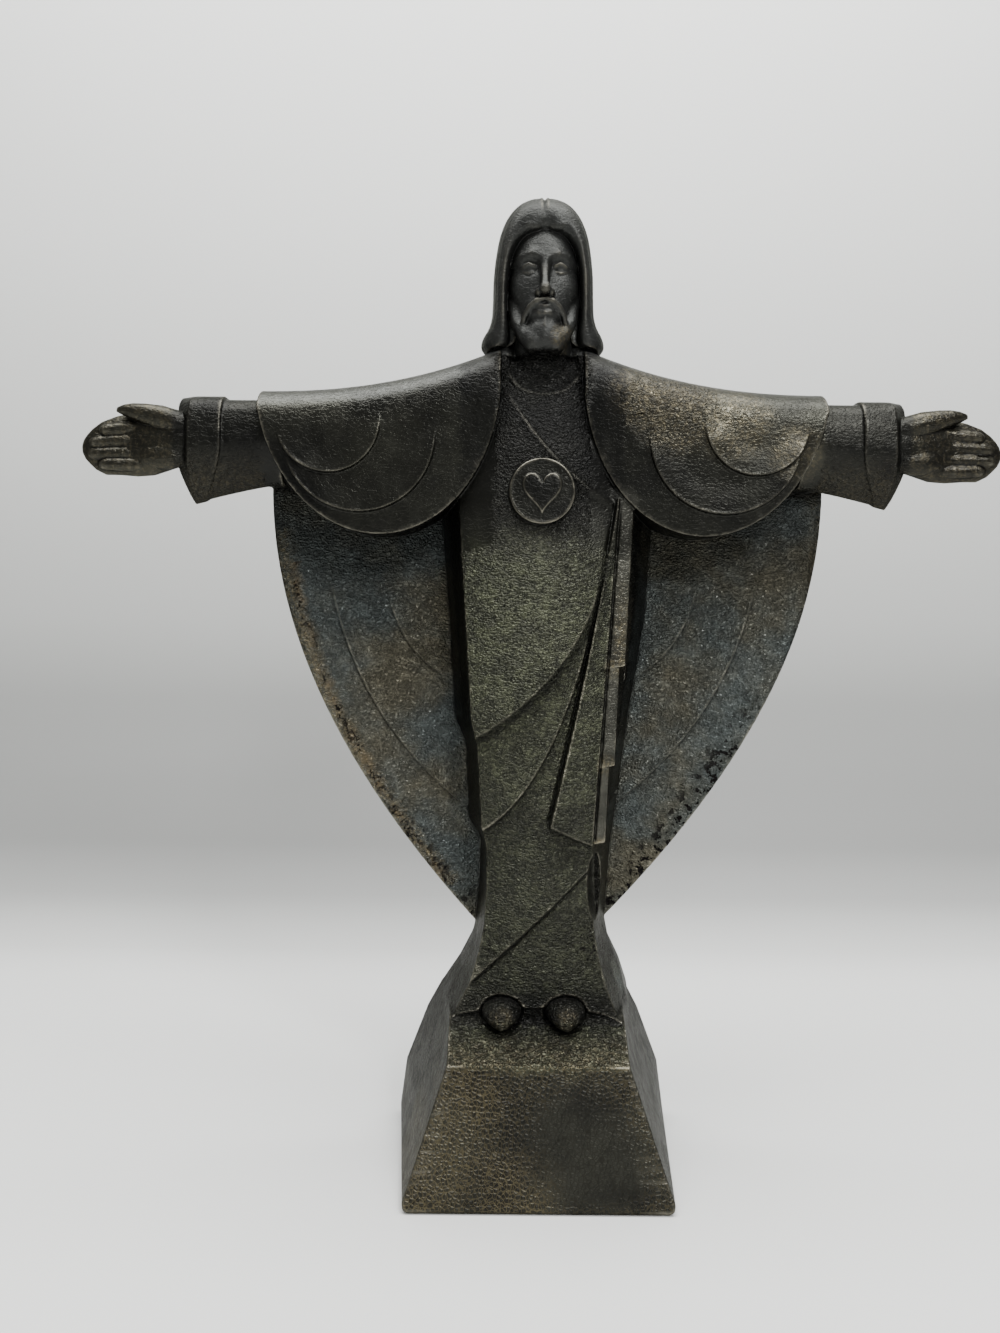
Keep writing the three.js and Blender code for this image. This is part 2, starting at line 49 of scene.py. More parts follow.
# Sizes in millimetres, the same as the solid's
BLOCK_ROWS = np.array(
    [  # height, front, front half width, back, back half width
        [0.0, -38.8, 44.6, 39.0, 52.8],
        [1.2, -39.5, 45.9, 39.8, 54.0],
        [3.2, -39.3, 46.2, 40.0, 54.2],
        [22.0, -34.25, 39.85, 40.0, 51.8],
        [45.3, -28.0, 32.0, 37.0, 43.0],
        [57.0, -8.4, 31.9, 33.0, 37.0],
    ]
)
ROBE_ROWS = np.array(
    [  # height, front half left and right, foot half left and right, front of the middle
        [46, 31.4, 31, 36, 37, -8],
        [56.5, 30.9, 29.6, 34.9, 36, -10.2],
        [68, 24.8, 25, 28.5, 33, -11.5],
        [79, 21.8, 22.2, 24, 28.5, -12],
        [89, 19.6, 20.6, 22.8, 26.5, -12.5],
        [103, 18.8, 20, 21.7, 27.5, -13],
        [119, 19, 20, 21.4, 28.8, -13],
        [126, 20.8, 22, 26.3, 30, -13.2],
        [155, 22.6, 24.5, 27.4, 33.6, -13.6],
        [165, 24.9, 26, 31.9, 35, -13.8],
        [205, 27.4, 28.5, 34.6, 42, -14.2],
        [242, 30, 31, 38.3, 45, -15.2],
        [262, 29, 29, 40, 42, -16],
        [284, 22, 22, 30, 30, -13.5],
        [297, 13, 13, 20, 20, -9],
    ]
)
ROBE_BACK_ROWS = np.array(
    [  # height, back, how much wider the back is than the foot of the sides
        [46, 34, 2],
        [56.5, 33.5, 2.2],
        [84, 26, 0],
        [110, 20.5, 0],
        [262, 20.5, -4],
        [284, 14, -6],
        [297, 8, -6],
    ]
)
ROBE_BORDER = -8.5
CAPE_FRONT, CAPE_BACK, CAPE_RIM_FORWARD, CAPE_RIM = 13.0, 22.0, 7.0, 5.0
CAPE_EDGE = ((22, 84), (106, 172), (104.5, 256))
CAPE_WIDEN = {-1: 0.975, 1: 1.03}
CAPE_FOLDS = (((62, 226), (58, 191), (35, 179.5)), ((83, 224), (74, 166), (29, 131)))
MANTLE_MIDDLE, MANTLE_REACH, MANTLE_TOP, MANTLE_RISE = 59.5, 43.0, 286.5, 16.0
MANTLE_DROP, MANTLE_DROP_FROM, MANTLE_END = 57.6, 290.0, 104.5
MANTLE_FRONT, MANTLE_BACK = -16.0, 13.5
MANTLE_FOLDS = ((66.5, 268, 27.8, 1.5), (77.5, 273, 19, 1.5))
SLEEVE_TOP, SLEEVE_BOTTOM, CUFF_BOTTOM, SLEEVE_HALF_DEPTH = 283.6, 251.0, 244.5, 13.5
HAND_Y, HAND_Z = -6.0, 266.5
MEDAL_Z, MEDAL_RADIUS, MEDAL_FRONT = 247.6, 11.7, -18.4
FOOT_X, FOOT_Y, FOOT_Z = {-1: -12.9, 1: 10.3}, -13.0, 58.6
HEAD_X = 0.3

FINE_SKIN = 0.42  # grain of the melted skin, and of the finer one on the head and hands
FINER_SKIN = 0.26
TRIANGLES = 110000


def unit(value):
    return np.clip(value, 0, 1)


def ramp(low, high, value):
    """0 below low, 1 above high, and a smooth climb between."""
    t = unit((value - low) / (high - low))
    return t * t * (3 - 2 * t)


def row_at(rows, z, column):
    return np.interp(z, rows[:, 0], rows[:, column])


def softened(rows, reach):
    """The same rows closely spaced, each column softened over its reach."""
    heights = np.arange(rows[0, 0], rows[-1, 0] + 0.25, 0.5)
    columns = [heights]
    for column, width in enumerate(reach, 1):
        values = np.interp(heights, rows[:, 0], rows[:, column])
        if width:
            steps = int(3 * width)
            weights = np.exp(-(np.arange(-steps, steps + 1) ** 2) / (2 * (width * 2 / 2.5) ** 2))
            padded = np.pad(values, steps, mode="reflect", reflect_type="odd")
            values = np.convolve(padded, weights / weights.sum(), mode="valid")
        columns.append(values)
    return np.stack(columns, 1)


def bow_at(bow, t):
    """Points (across, up) of a bow of three points."""
    a, b, c = (np.array(p, float) for p in bow)
    t = np.asarray(t, float)[..., None]
    return (1 - t) ** 2 * a + 2 * t * (1 - t) * b + t * t * c


def bow_across(bow, z):
    """How far across a bow is at a height."""
    points = bow_at(bow, np.linspace(0, 1, 60))
    order = np.argsort(points[:, 1])
    return np.interp(z, points[order, 1], points[order, 0])


ROBE_ROWS = softened(ROBE_ROWS, (1.6, 1.6, 2.0, 2.0, 7.0))
ROBE_BACK_ROWS = softened(ROBE_BACK_ROWS, (7.0, 5.0))


def line_gap(at, line):
    """How far places are from a line of places, both read as (across, up)."""
    line = np.array(line, float)
    gap = np.full(len(at), 99.0)
    for a, b in zip(line[:-1], line[1:]):
        run = b - a
        t = unit(((at - a) @ run) / (run @ run))
        gap = np.minimum(gap, np.linalg.norm(at - a - t[:, None] * run, axis=1))
    return gap


# Blanks and how they are shaped


def box_blank(across, deep, up):
    """A unit box cut into cells."""
    bm = bmesh.new()
    bmesh.ops.create_cube(bm, size=1.0)
    for axis, cells in enumerate((across, deep, up)):
        along = [e for e in bm.edges if abs(e.verts[0].co[axis] - e.verts[1].co[axis]) > 1e-6]
        if cells > 1:
            bmesh.ops.subdivide_edges(bm, edges=along, cuts=cells - 1, use_grid_fill=True)
    return bm


def drum_blank(sides, steps):
    """A unit drum, standing along Z, cut into rings."""
    bm = bmesh.new()
    bmesh.ops.create_cone(bm, cap_ends=True, cap_tris=True, segments=sides, radius1=1, radius2=1, depth=1)
    upright = [e for e in bm.edges if abs(e.verts[0].co.z - e.verts[1].co.z) > 1e-6]
    if steps > 1:
        bmesh.ops.subdivide_edges(bm, edges=upright, cuts=steps - 1, use_grid_fill=True)
    return bm


def ball_blank(around, rows):
    bm = bmesh.new()
    bmesh.ops.create_uvsphere(bm, u_segments=around, v_segments=rows, radius=1)
    return bm


def shape(bm, mould):
    """Moves a blank's points to where the mould puts them, in millimetres."""
    points = np.array([v.co for v in bm.verts])
    for vert, place in zip(bm.verts, mould(points)):
        vert.co = Vector(place) * MM
    bmesh.ops.recalc_face_normals(bm, faces=bm.faces)
    return bm


def ball(centre, size, around=32, rows=20):
    return shape(ball_blank(around, rows), lambda p: np.array(centre) + p * np.array(size))


def bar(stations, sides=20):
    """A rounded bar through stations of (x, y, z, half width, half depth)."""
    table = np.array(stations, float)
    steps = 6 * (len(table) - 1)
    knots = np.linspace(0, 1, len(table))

    def mould(p):
        t = p[:, 2] + 0.5
        middle = np.stack([np.interp(t, knots, table[:, k]) for k in range(3)], 1)
        half = [np.interp(t, knots, table[:, k]) for k in (3, 4)]
        axis = table[-1, :3] - table[0, :3]
        axis = axis / np.linalg.norm(axis)
        flank = np.cross(axis, (0, -1, 0))
        flank = flank / np.linalg.norm(flank)
        front = np.cross(flank, axis)
        return middle + flank * (p[:, 0] * half[0])[:, None] + front * (p[:, 1] * half[1])[:, None]

    return shape(drum_blank(sides, steps), mould)


# The block and the robe


def block_form():
    def mould(p):
        s, t, r = (p + 0.5).T
        z = BLOCK_ROWS[-1, 0] * r
        front, front_half, back, back_half = (row_at(BLOCK_ROWS, z, k) for k in (1, 2, 3, 4))
        half = front_half + (back_half - front_half) * t
        half = half - 0.5 * np.sin(np.pi * t) * ramp(0, 20, z)
        return np.stack([half * (2 * s - 1), front + (back - front) * t, z], 1)

    return shape(box_blank(30, 24, 116), mould)


def robe_half(x, z, left_column=1):
    """How wide the robe is on the side that x is on: its front, or from column 3 its foot."""
    return np.where(x < 0, row_at(ROBE_ROWS, z, left_column), row_at(ROBE_ROWS, z, left_column + 1))


def robe_front(x, z):
    half = robe_half(x, z)
    middle = row_at(ROBE_ROWS, z, 5)
    share = unit(np.abs(x) / half)
    return middle + (ROBE_BORDER - middle) * share**2


def robe_form():
    low, high = ROBE_ROWS[0, 0], ROBE_ROWS[-1, 0]

    def mould(p):
        s, t, r = (p + 0.5).T
        z = low + (high - low) * r
        side = 2 * s - 1
        front = side * robe_half(side, z)
        foot = side * robe_half(side, z, 3)
        back, wider = row_at(ROBE_BACK_ROWS, z, 1), row_at(ROBE_BACK_ROWS, z, 2)
        foot_y = np.minimum(CAPE_FRONT, back - 2)
        front_y = robe_front(front, z)
        near = unit(t / 0.5)
        far = unit((t - 0.5) / 0.5)
        x = front + (foot - front) * near + side * wider * far
        y = front_y + (foot_y - front_y) * near + (back - foot_y) * far
        return np.stack([x, y, z], 1)

    return shape(box_blank(36, 10, 250), mould)


PLEATS = (  # foot, half width at the foot and above, front
    (118.8, 24.6, 30.0, -9.2),
    (147.0, 27.8, 31.6, -9.9),
    (183.5, 31.2, 34.2, -10.6),
)


PLEAT_TOP, PLEAT_INNER = 250, 17


def pleat_forms():
    """Three upright pleats at the robe's side, each lying on the one below and ending above it."""
    forms = []
    for foot, low_half, high_half, front in PLEATS:

        def mould(p, foot=foot, low_half=low_half, high_half=high_half, front=front):
            s, t, r = (p + 0.5).T
            z = foot + (PLEAT_TOP - foot) * r
            outer = low_half + (high_half - low_half) * r + 4 * t**2
            slope = 1.4 * s * (1 - r) ** 8
            lean = 0.7 * ramp(0.8, 1.0, s) * (1 - t)
            x = PLEAT_INNER + (outer - PLEAT_INNER) * s
            return np.stack([x, front + (12 - front) * t + lean, z + slope], 1)

        forms.append(shape(box_blank(16, 10, 80), mould))
    return forms


# The cape


def cape_front(x):
    share = unit((x - 25) / 75)
    return CAPE_FRONT - CAPE_RIM_FORWARD * share**2


def cape_back(x):
    share = unit((x - 25) / 75)
    spine = CAPE_BACK + 1.5 * np.cos(np.clip(x / 30, 0, np.pi / 2))
    return spine + (CAPE_FRONT - CAPE_RIM_FORWARD + CAPE_RIM - spine) * share**2


def cape_form(side):
    def mould(p):
        s, t, r = (p + 0.5).T
        edge = bow_at(CAPE_EDGE, r)
        rise = r**3 * (1 - s) ** 1.5
        x = -2 + (edge[:, 0] * CAPE_WIDEN[side] + 2) * s
        back = cape_back(x) - 9 * rise - 3 * s * ramp(0.9, 1, r)
        front = cape_front(x) - 6 * rise
        return np.stack([side * x, front + (back - front) * t, edge[:, 1] + 32 * rise], 1)

    return shape(box_blank(60, 4, 90), mould)


# The cloth over the arms, the sleeves and the cuffs


def mantle_top(x):
    share = unit((MANTLE_END - x) / 88)
    return MANTLE_TOP + MANTLE_RISE * share**2.3


def mantle_front(x, z):
    down = np.clip(mantle_top(x) - z, 0, 60)
    roll = np.sqrt(1 - (1 - unit(down / 13)) ** 2)
    lean = 4.5 * unit((down - 18) / 40)
    return MANTLE_FRONT * roll + lean


def mantle_form(side):
    fronts = 0.5  # share of the ring that is the front, then the underside, then the back
    under = 0.6

    def mould(p):
        along = p[:, 2] + 0.5
        out = np.hypot(p[:, 0], p[:, 1])
        place = (np.arctan2(p[:, 0], p[:, 1]) / (2 * np.pi)) % 1.0
        turn = np.pi * (0.05 + 0.91 * along)
        x = MANTLE_MIDDLE + (MANTLE_REACH + 1.6) * np.cos(turn)
        top = mantle_top(x)
        hem = np.minimum(MANTLE_DROP_FROM - MANTLE_DROP * np.sin(turn), top - 10)
        back = np.maximum(MANTLE_BACK, cape_back(x) - 0.8)
        front_z = top + (hem - top) * unit(place / fronts) ** 1.4
        front_y = mantle_front(x, front_z)
        hem_y = mantle_front(x, hem)
        share = unit((place - fronts) / (under - fronts))
        under_y = hem_y + (back - hem_y) * share
        under_z = hem + 2.5 * share
        climb = unit((place - under) / (1 - under))
        back_z = hem + 2.5 + (top - hem - 2.5) * climb**0.7
        back_y = back * np.sqrt(1 - unit((back_z - (top - 17)) / 17) ** 2)
        y = np.where(place <= fronts, front_y, np.where(place <= under, under_y, back_y))
        z = np.where(place <= fronts, front_z, np.where(place <= under, under_z, back_z))
        y = np.where(out < 0.5, 0, y)
        z = np.where(out < 0.5, (top + hem) / 2, z)
        return np.stack([side * x, y, z], 1)

    return shape(drum_blank(120, 90), mould)


def sleeve_ring(p, x, bottom, depth, top):
    """A section of a sleeve: square above, and drawn to an edge below."""
    u, v = p[:, 0], p[:, 1]
    power = np.where(v > 0, 3.2, 1.45)
    square = 1 / np.maximum(np.abs(u) ** power + np.abs(v) ** power, 1e-9) ** (1 / power)
    square = np.where(np.hypot(u, v) < 0.5, 0, square)
    waist = bottom + 0.5 * (top - bottom)
    z = waist + np.where(v > 0, top - waist, waist - bottom) * square * v
    return np.stack([x, -depth * square * u, z], 1)


def sleeve_low(x):
    return SLEEVE_BOTTOM + (CUFF_BOTTOM - SLEEVE_BOTTOM) * unit((x - 100) / 29) ** 1.2


def sleeve_form(side):
    def mould(p):
        x = 96 + 30 * (p[:, 2] + 0.5)
        placed = sleeve_ring(p, x, sleeve_low(x) + 0.5, SLEEVE_HALF_DEPTH * 0.95, SLEEVE_TOP - 0.9)
        placed[:, 0] *= side
        return placed

    return shape(drum_blank(96, 30), mould)


def cuff_form(side):
    """The turned back cuff: its seam and its end both slope inwards towards the low corner."""

    def mould(p):
        along = p[:, 2] + 0.5
        z = sleeve_ring(p, np.full(len(p), 128.0), sleeve_low(128.0), SLEEVE_HALF_DEPTH, SLEEVE_TOP)[:, 2]
        seam = 116.8 + 9.0 * unit((264 - z) / 20) ** 1.8
        end = 134.3 - 5.0 * unit((258 - z) / 13.5) ** 1.2
        end = end - 0.8 * unit((z - 280) / 4)
        x = seam + (end - seam) * along
        depth = SLEEVE_HALF_DEPTH * (1 - 0.5 * unit((along - 0.68) / 0.32)) + 0.5
        placed = sleeve_ring(p, x, sleeve_low(x) - 0.1, depth, SLEEVE_TOP + 0.2)
        hollow = (np.hypot(p[:, 0], p[:, 1]) < 0.5) & (along > 0.9)
        placed[:, 0] = side * np.where(hollow, x - 3.0, placed[:, 0])
        return placed

    return shape(drum_blank(96, 24), mould)


PALM = (  # across, then forward and up from the hand's middle, half height, half thickness
    (124, 0, 0.5, 8.6, 6.6),
    (131, 0, 0.6, 8.8, 6.2),
    (137, 0, 0.2, 10.4, 5.8),
    (144, 0.2, -0.8, 11.7, 5.0),
    (150, 0.2, -1.2, 11.8, 4.0),
    (156, -0.2, -1.7, 10.9, 3.3),
    (161.3, -0.6, -2.8, 9.8, 3.0),
    (164.7, -0.9, -3.2, 7.6, 2.6),
    (166.5, -1.1, -3.2, 5.7, 2.2),
    (168.0, -1.2, -3.3, 3.8, 1.6),
    (168.9, -1.2, -3.3, 1.8, 0.9),
)
THUMB = (  # across, forward, height, half height, half thickness
    (128, -1.0, 270.5, 4.0, 4.2),
    (134, -2.0, 272.8, 4.8, 4.8),
    (140, -3.0, 274.6, 4.6, 4.2),
    (146, -3.6, 276.0, 3.7, 3.2),
    (150, -3.9, 276.8, 2.9, 2.6),
    (153, -4.0, 277.2, 2.0, 1.9),
    (155.4, -4.0, 277.3, 0.9, 0.9),
)
FINGER_ROOT = 144
FINGERS = (  # height of the root, how far out and how high the tip is
    (271.6, 162.4, 269.6),
    (267.0, 166.2, 265.2),
    (262.2, 166.6, 261.2),
    (257.6, 162.6, 257.6),
)
JOINTS = (  # share of the way to the tip, how far forward, half thickness
    (0.0, -1.0, 2.2),
    (0.2, 0.6, 2.45),
    (0.4, 1.3, 2.6),
    (0.46, 1.35, 2.45),
    (0.55, 1.5, 2.6),
    (0.68, 1.8, 2.5),
    (0.73, 1.85, 2.35),
    (0.82, 2.0, 2.4),
    (0.92, 2.1, 2.0),
    (0.98, 2.0, 1.3),
    (1.0, 1.9, 0.7),
)


def hand_forms(side):
    """An open palm facing forward: close fingers, and the thumb lying along the top."""
    forms = [bar([(side * x, HAND_Y + y, HAND_Z + z, a, b) for x, y, z, a, b in PALM], sides=48)]
    for root_z, tip_x, tip_z in FINGERS:
        stations = []
        for share, forward, thick in JOINTS:
            x = side * (FINGER_ROOT + (tip_x - FINGER_ROOT) * share)
            z = root_z + (tip_z - root_z) * share
            stations.append((x, HAND_Y - 0.6 - forward, z, thick, thick * 0.9))
        forms.append(bar(stations, sides=22))
    forms.append(bar([(side * x, HAND_Y + y, z, a, b) for x, y, z, a, b in THUMB], sides=24))
    forms.append(ball((side * 138.5, HAND_Y - 2.2, 261.0), (9.5, 3.6, 5.2)))
    return forms


# The neck, the collar, the medal and the feet


def neck_forms():
    yoke = ball((0, 2, 284), (27, 15, 17.5), 48, 30)

    def neck(p):
        t = p[:, 2] + 0.5
        half = 10.5 + 2.5 * (1 - t) ** 2
        return np.stack([HEAD_X + half * p[:, 0], -2.8 + half * 0.85 * p[:, 1], 280 + 32 * t], 1)

    shoulders = [ball((side * 14.5, 2, 295.0), (8.0, 11, 11.0), 32, 20) for side in (-1, 1)]
    return [yoke, shape(drum_blank(60, 12), neck), *shoulders]


MEDAL_RIM = ((9.9, 0), (12.3, 0), (11.8, 3.7), (11.3, 4.0), (10.8, 3.8), (10.4, 2.7), (9.9, 2.5))
MEDAL_PLATE, MEDAL_BACK = 10.6, MEDAL_FRONT + 4.6


def medal_forms():
    """A round plate with a raised rim and a raised heart with sloping sides."""
    rim = bmesh.new()
    verts = [rim.verts.new((r, 0, h)) for r, h in MEDAL_RIM]
    edges = [rim.edges.new((a, b)) for a, b in zip(verts, verts[1:] + verts[:1])]
    round_z = {"cent": (0, 0, 0), "axis": (0, 0, 1), "angle": 2 * math.pi}
    bmesh.ops.spin(rim, geom=verts + edges, steps=120, use_merge=True, **round_z)
    bmesh.ops.remove_doubles(rim, verts=rim.verts, dist=1e-4)

    def on_chest(p):
        return np.stack([p[:, 0], MEDAL_BACK - p[:, 2], MEDAL_Z + p[:, 1]], 1)

    def plate(p):
        return on_chest(np.stack([MEDAL_PLATE * p[:, 0], MEDAL_PLATE * p[:, 1], 1.2 + 5 * p[:, 2]], 1))

    def heart(p):
        turn = np.arctan2(p[:, 0], p[:, 1])
        level = np.hypot(p[:, 0], p[:, 1])
        across = 0.86 * np.sin(turn) ** 3 + 0.14 * np.sin(turn)
        up = (13 * np.cos(turn) - 5 * np.cos(2 * turn) - 2 * np.cos(3 * turn) - np.cos(4 * turn)) / 15
        chamfer = unit((1 - level) / 0.24) + 0.16 * (1 - level)
        x, z = 8.7 * level * across, 1.2 * (1 - level) + 9.2 * level * up + 0.2
        return np.stack([x, MEDAL_FRONT + 2.4 - 2.2 * np.sign(p[:, 2]) * chamfer, MEDAL_Z + z], 1)

    return [shape(rim, on_chest), shape(drum_blank(90, 2), plate), shape(ball_blank(96, 40), heart)]


def foot_forms():
    """Rounded feet that show under the hem, drawn in to a blunt point, with fine toe lines."""

    def mould(side):
        def place(p):
            x, y, z = p.T
            narrow = 1 - 0.5 * unit(-z) ** 1.3 + 0.16 * unit(z)
            lines = sum(np.exp(-(((x * narrow - at) / 0.07) ** 2)) for at in (-0.46, -0.14, 0.16, 0.44))
            sunk = 0.035 * lines * ramp(0.3, 0.7, -y) * ramp(0.2, -0.25, z)
            return np.stack(
                [
                    FOOT_X[side] + 7.0 * x * narrow * (1 - sunk),
                    FOOT_Y + 7.0 * y * (1 - sunk) - 1.2 * unit(-z),
                    FOOT_Z + 5.5 * z * (1 - sunk),
                ],
                1,
            )

        return place

    return [shape(ball_blank(80, 50), mould(side)) for side in (-1, 1)]


# The head. The face is rounded lumps and cords blended together and read outwards from its
# middle. The hair is a smooth hood round it, parted in the middle and turned out at the foot.


def flow(rows, t):
    """A smooth run through evenly spaced rows of numbers, t from 0 to 1."""
    rows = np.asarray(rows, float)
    padded = np.vstack([2 * rows[0] - rows[1], rows, 2 * rows[-1] - rows[-2]])
    place = unit(t) * (len(rows) - 1)
    i = np.minimum(place.astype(int), len(rows) - 2)
    f = (place - i)[:, None]
    a, b, c, d = (padded[i + k] for k in range(4))
    return 0.5 * (2 * b + (c - a) * f + (2 * a - 5 * b + 4 * c - d) * f**2 + (3 * b - a - 3 * c + d) * f**3)


def lump(p, centre, size):
    """How far points are outside a rounded lump."""
    q = (p - np.array(centre)) / np.array(size)
    near = np.linalg.norm(q, axis=1)
    slope = np.linalg.norm(q / np.array(size), axis=1)
    return near * (near - 1) / np.maximum(slope, 1e-6)


def cord(p, knots):
    """How far points are outside a cord through knots of (x, y, z, radius)."""
    knots = np.array(knots, float)
    nearest = np.full(len(p), 99.0)
    for a, b in zip(knots[:-1], knots[1:]):
        run = b[:3] - a[:3]
        t = unit(((p - a[:3]) @ run) / (run @ run))
        gap = np.linalg.norm(p - a[:3] - t[:, None] * run, axis=1) - (a[3] + (b[3] - a[3]) * t)
        nearest = np.minimum(nearest, gap)
    return nearest


def blend(a, b, width):
    h = unit(0.5 + 0.5 * (b - a) / width)
    return b + (a - b) * h - width * h * (1 - h)


FACE_BALL = ((0, -1.8, 331), (13.8, 15.4, 19))
FACE_PARTS = (  # how softly it blends in, or cuts when below 0; a lump, or a cord's knots
    # jaw and cheek
    (5, (0, -5.4, 314.5), (10.8, 11.3, 13)),
    (4, (7.6, -9.6, 322.5), (4.2, 4.0, 5.0)),
    # brow and eye socket
    (
        2.4,
        [(1.2, -15.4, 331.9, 1.1), (4.6, -15.3, 333.2, 1.0)]
        + [(8.2, -13.2, 332.9, 0.9), (11, -9.8, 330.8, 0.7)],
    ),
    (-2.0, (5.5, -17.9, 328.4), (4.3, 3.5, 3.3)),
    # nose, its tip, wing and nostril
    (1.8, [(0, -15.0, 331.6, 1.2), (0, -17.4, 326.0, 1.25), (0, -19.5, 320.4, 1.6)]),
    (1.0, (0, -19.7, 319.2), (2.0, 2.1, 1.9)),
    (0.8, (2.2, -17.6, 318.6), (1.4, 2.1, 1.5)),
    (-0.5, (1.2, -19.0, 317.1), (0.7, 1.0, 0.6)),
    # eye, its two lids and the crease over it
    (0.5, (5.5, -12.2, 328.3), (3.4, 3.2, 3.1)),
    (
        0.5,
        [
            (2.4, -14.4, 327.9, 0.3),
            (3.8, -15.3, 329.0, 0.6),
            (5.7, -15.6, 329.5, 0.7),
            (7.6, -14.7, 328.8, 0.6),
            (8.9, -13.1, 327.6, 0.3),
        ],
    ),
    (
        0.5,
        [
            (2.4, -14.4, 327.8, 0.25),
            (4.0, -15.0, 326.7, 0.4),
            (5.8, -15.1, 326.4, 0.45),
            (7.6, -14.3, 326.8, 0.4),
            (8.9, -13.1, 327.6, 0.25),
        ],
    ),
    (-0.8, [(3.0, -16.0, 330.6, 0.2), (5.6, -16.2, 331.2, 0.3), (8.4, -14.2, 330.4, 0.2)]),
    # mouth: its mound, the lips and the line between them
    (2.0, (0, -14.6, 313), (5.4, 3.0, 3.6)),
    (0.7, [(0, -17.5, 313.7, 0.75), (1.9, -17.3, 314.1, 0.7), (4.2, -15.9, 313.2, 0.3)]),
    (0.7, [(0, -17.3, 311.5, 0.95), (1.8, -17.0, 311.6, 0.85), (3.8, -15.7, 312.5, 0.3)]),
    (-0.35, [(0, -18.6, 312.7, 0.3), (2.2, -18.1, 312.8, 0.3), (4.4, -16.5, 312.8, 0.2)]),
    # beard and whiskers
    (1.8, [(12.3, -5.0, 326, 0.9), (11.6, -7.6, 318, 1.7), (9.6, -10.2, 310, 2.5), (6.4, -12.4, 304.6, 3.2)]),
    (2.2, (0, -13.6, 305.6), (6.0, 4.3, 4.8)),
    (1.2, (3.7, -12.8, 302.2), (4.2, 4.6, 4.4)),
    (1.4, (0, -13.2, 303.0), (2.8, 4.4, 4.0)),
    (0.9, [(0, -16.6, 309.4, 0.7), (0, -16.9, 307.2, 0.9), (0, -16.6, 305, 0.6)]),
    (
        0.6,
        [
            (0.5, -17.9, 316.3, 0.8),
            (2.8, -17.7, 315.6, 1.1),
            (5.2, -16.3, 313.9, 1.15),
            (7.1, -14.6, 311.2, 1.1),
            (7.9, -13.6, 308, 0.8),
        ],
    ),
)


def face_distance(p):
    """The face and beard: the same on both sides, so read from points folded to one side."""
    q = p - np.array([HEAD_X, 0, 0])
    q[:, 0] = np.abs(q[:, 0])
    face = lump(q, *FACE_BALL)
    for width, *part in FACE_PARTS:
        form = lump(q, *part) if len(part) == 2 else cord(q, *part)
        face = blend(face, form, width) if width > 0 else -blend(-face, form, -width)
    return face


def face_form():
    middle = np.array([HEAD_X, 1.0, 322.0])

    def mould(p):
        turn = np.arctan2(p[:, 0], -p[:, 1])
        gathered = turn - 0.6 * np.sin(turn)
        level = np.hypot(p[:, 0], p[:, 1])
        way = np.stack([level * np.sin(gathered), -level * np.cos(gathered), p[:, 2]], 1)
        reach = np.full(len(p), 34.0)
        for _ in range(48):
            reach = np.maximum(reach - 0.75 * face_distance(middle + way * reach[:, None]), 3)
        return middle + way * reach[:, None]

    return shape(ball_blank(260, 240), mould)


HOOD_ARCH = [  # outline across and up, opening across and up, how far back the lip is
    (0.0, 357.8, 0.0, 343.4, -0.2),
    (4.6, 357.3, 3.4, 342.0, -0.6),
    (9.2, 355.2, 7.0, 341.0, 0.0),
    (13.0, 350.8, 10.0, 338.2, 0.8),
    (15.7, 344.6, 12.0, 334.0, 1.6),
    (17.2, 337.0, 13.0, 329.0, 2.4),
    (18.0, 329.0, 13.5, 323.6, 3.0),
    (18.2, 321.0, 13.6, 318.0, 3.6),
    (18.6, 314.4, 13.4, 312.4, 4.2),
    (20.0, 310.0, 13.0, 308.4, 4.8),
    (21.9, 306.8, 12.8, 305.6, 5.4),
    (22.3, 303.8, 13.4, 303.2, 6.0),
    (20.4, 301.4, 15.4, 301.8, 6.6),
]
HOOD_TURN = [  # from the opening to the back: share of the way out, depth
    (0.0, -8.0),
    (-0.01, -12.5),
    (0.1, -15.4),
    (0.34, -16.2),
    (0.62, -14.4),
    (0.86, -10.0),
    (0.98, -4.0),
    (1.0, 2.0),
    (0.94, 8.0),
    (0.78, 13.6),
    (0.46, 18.0),
    (0.0, 20.0),
]


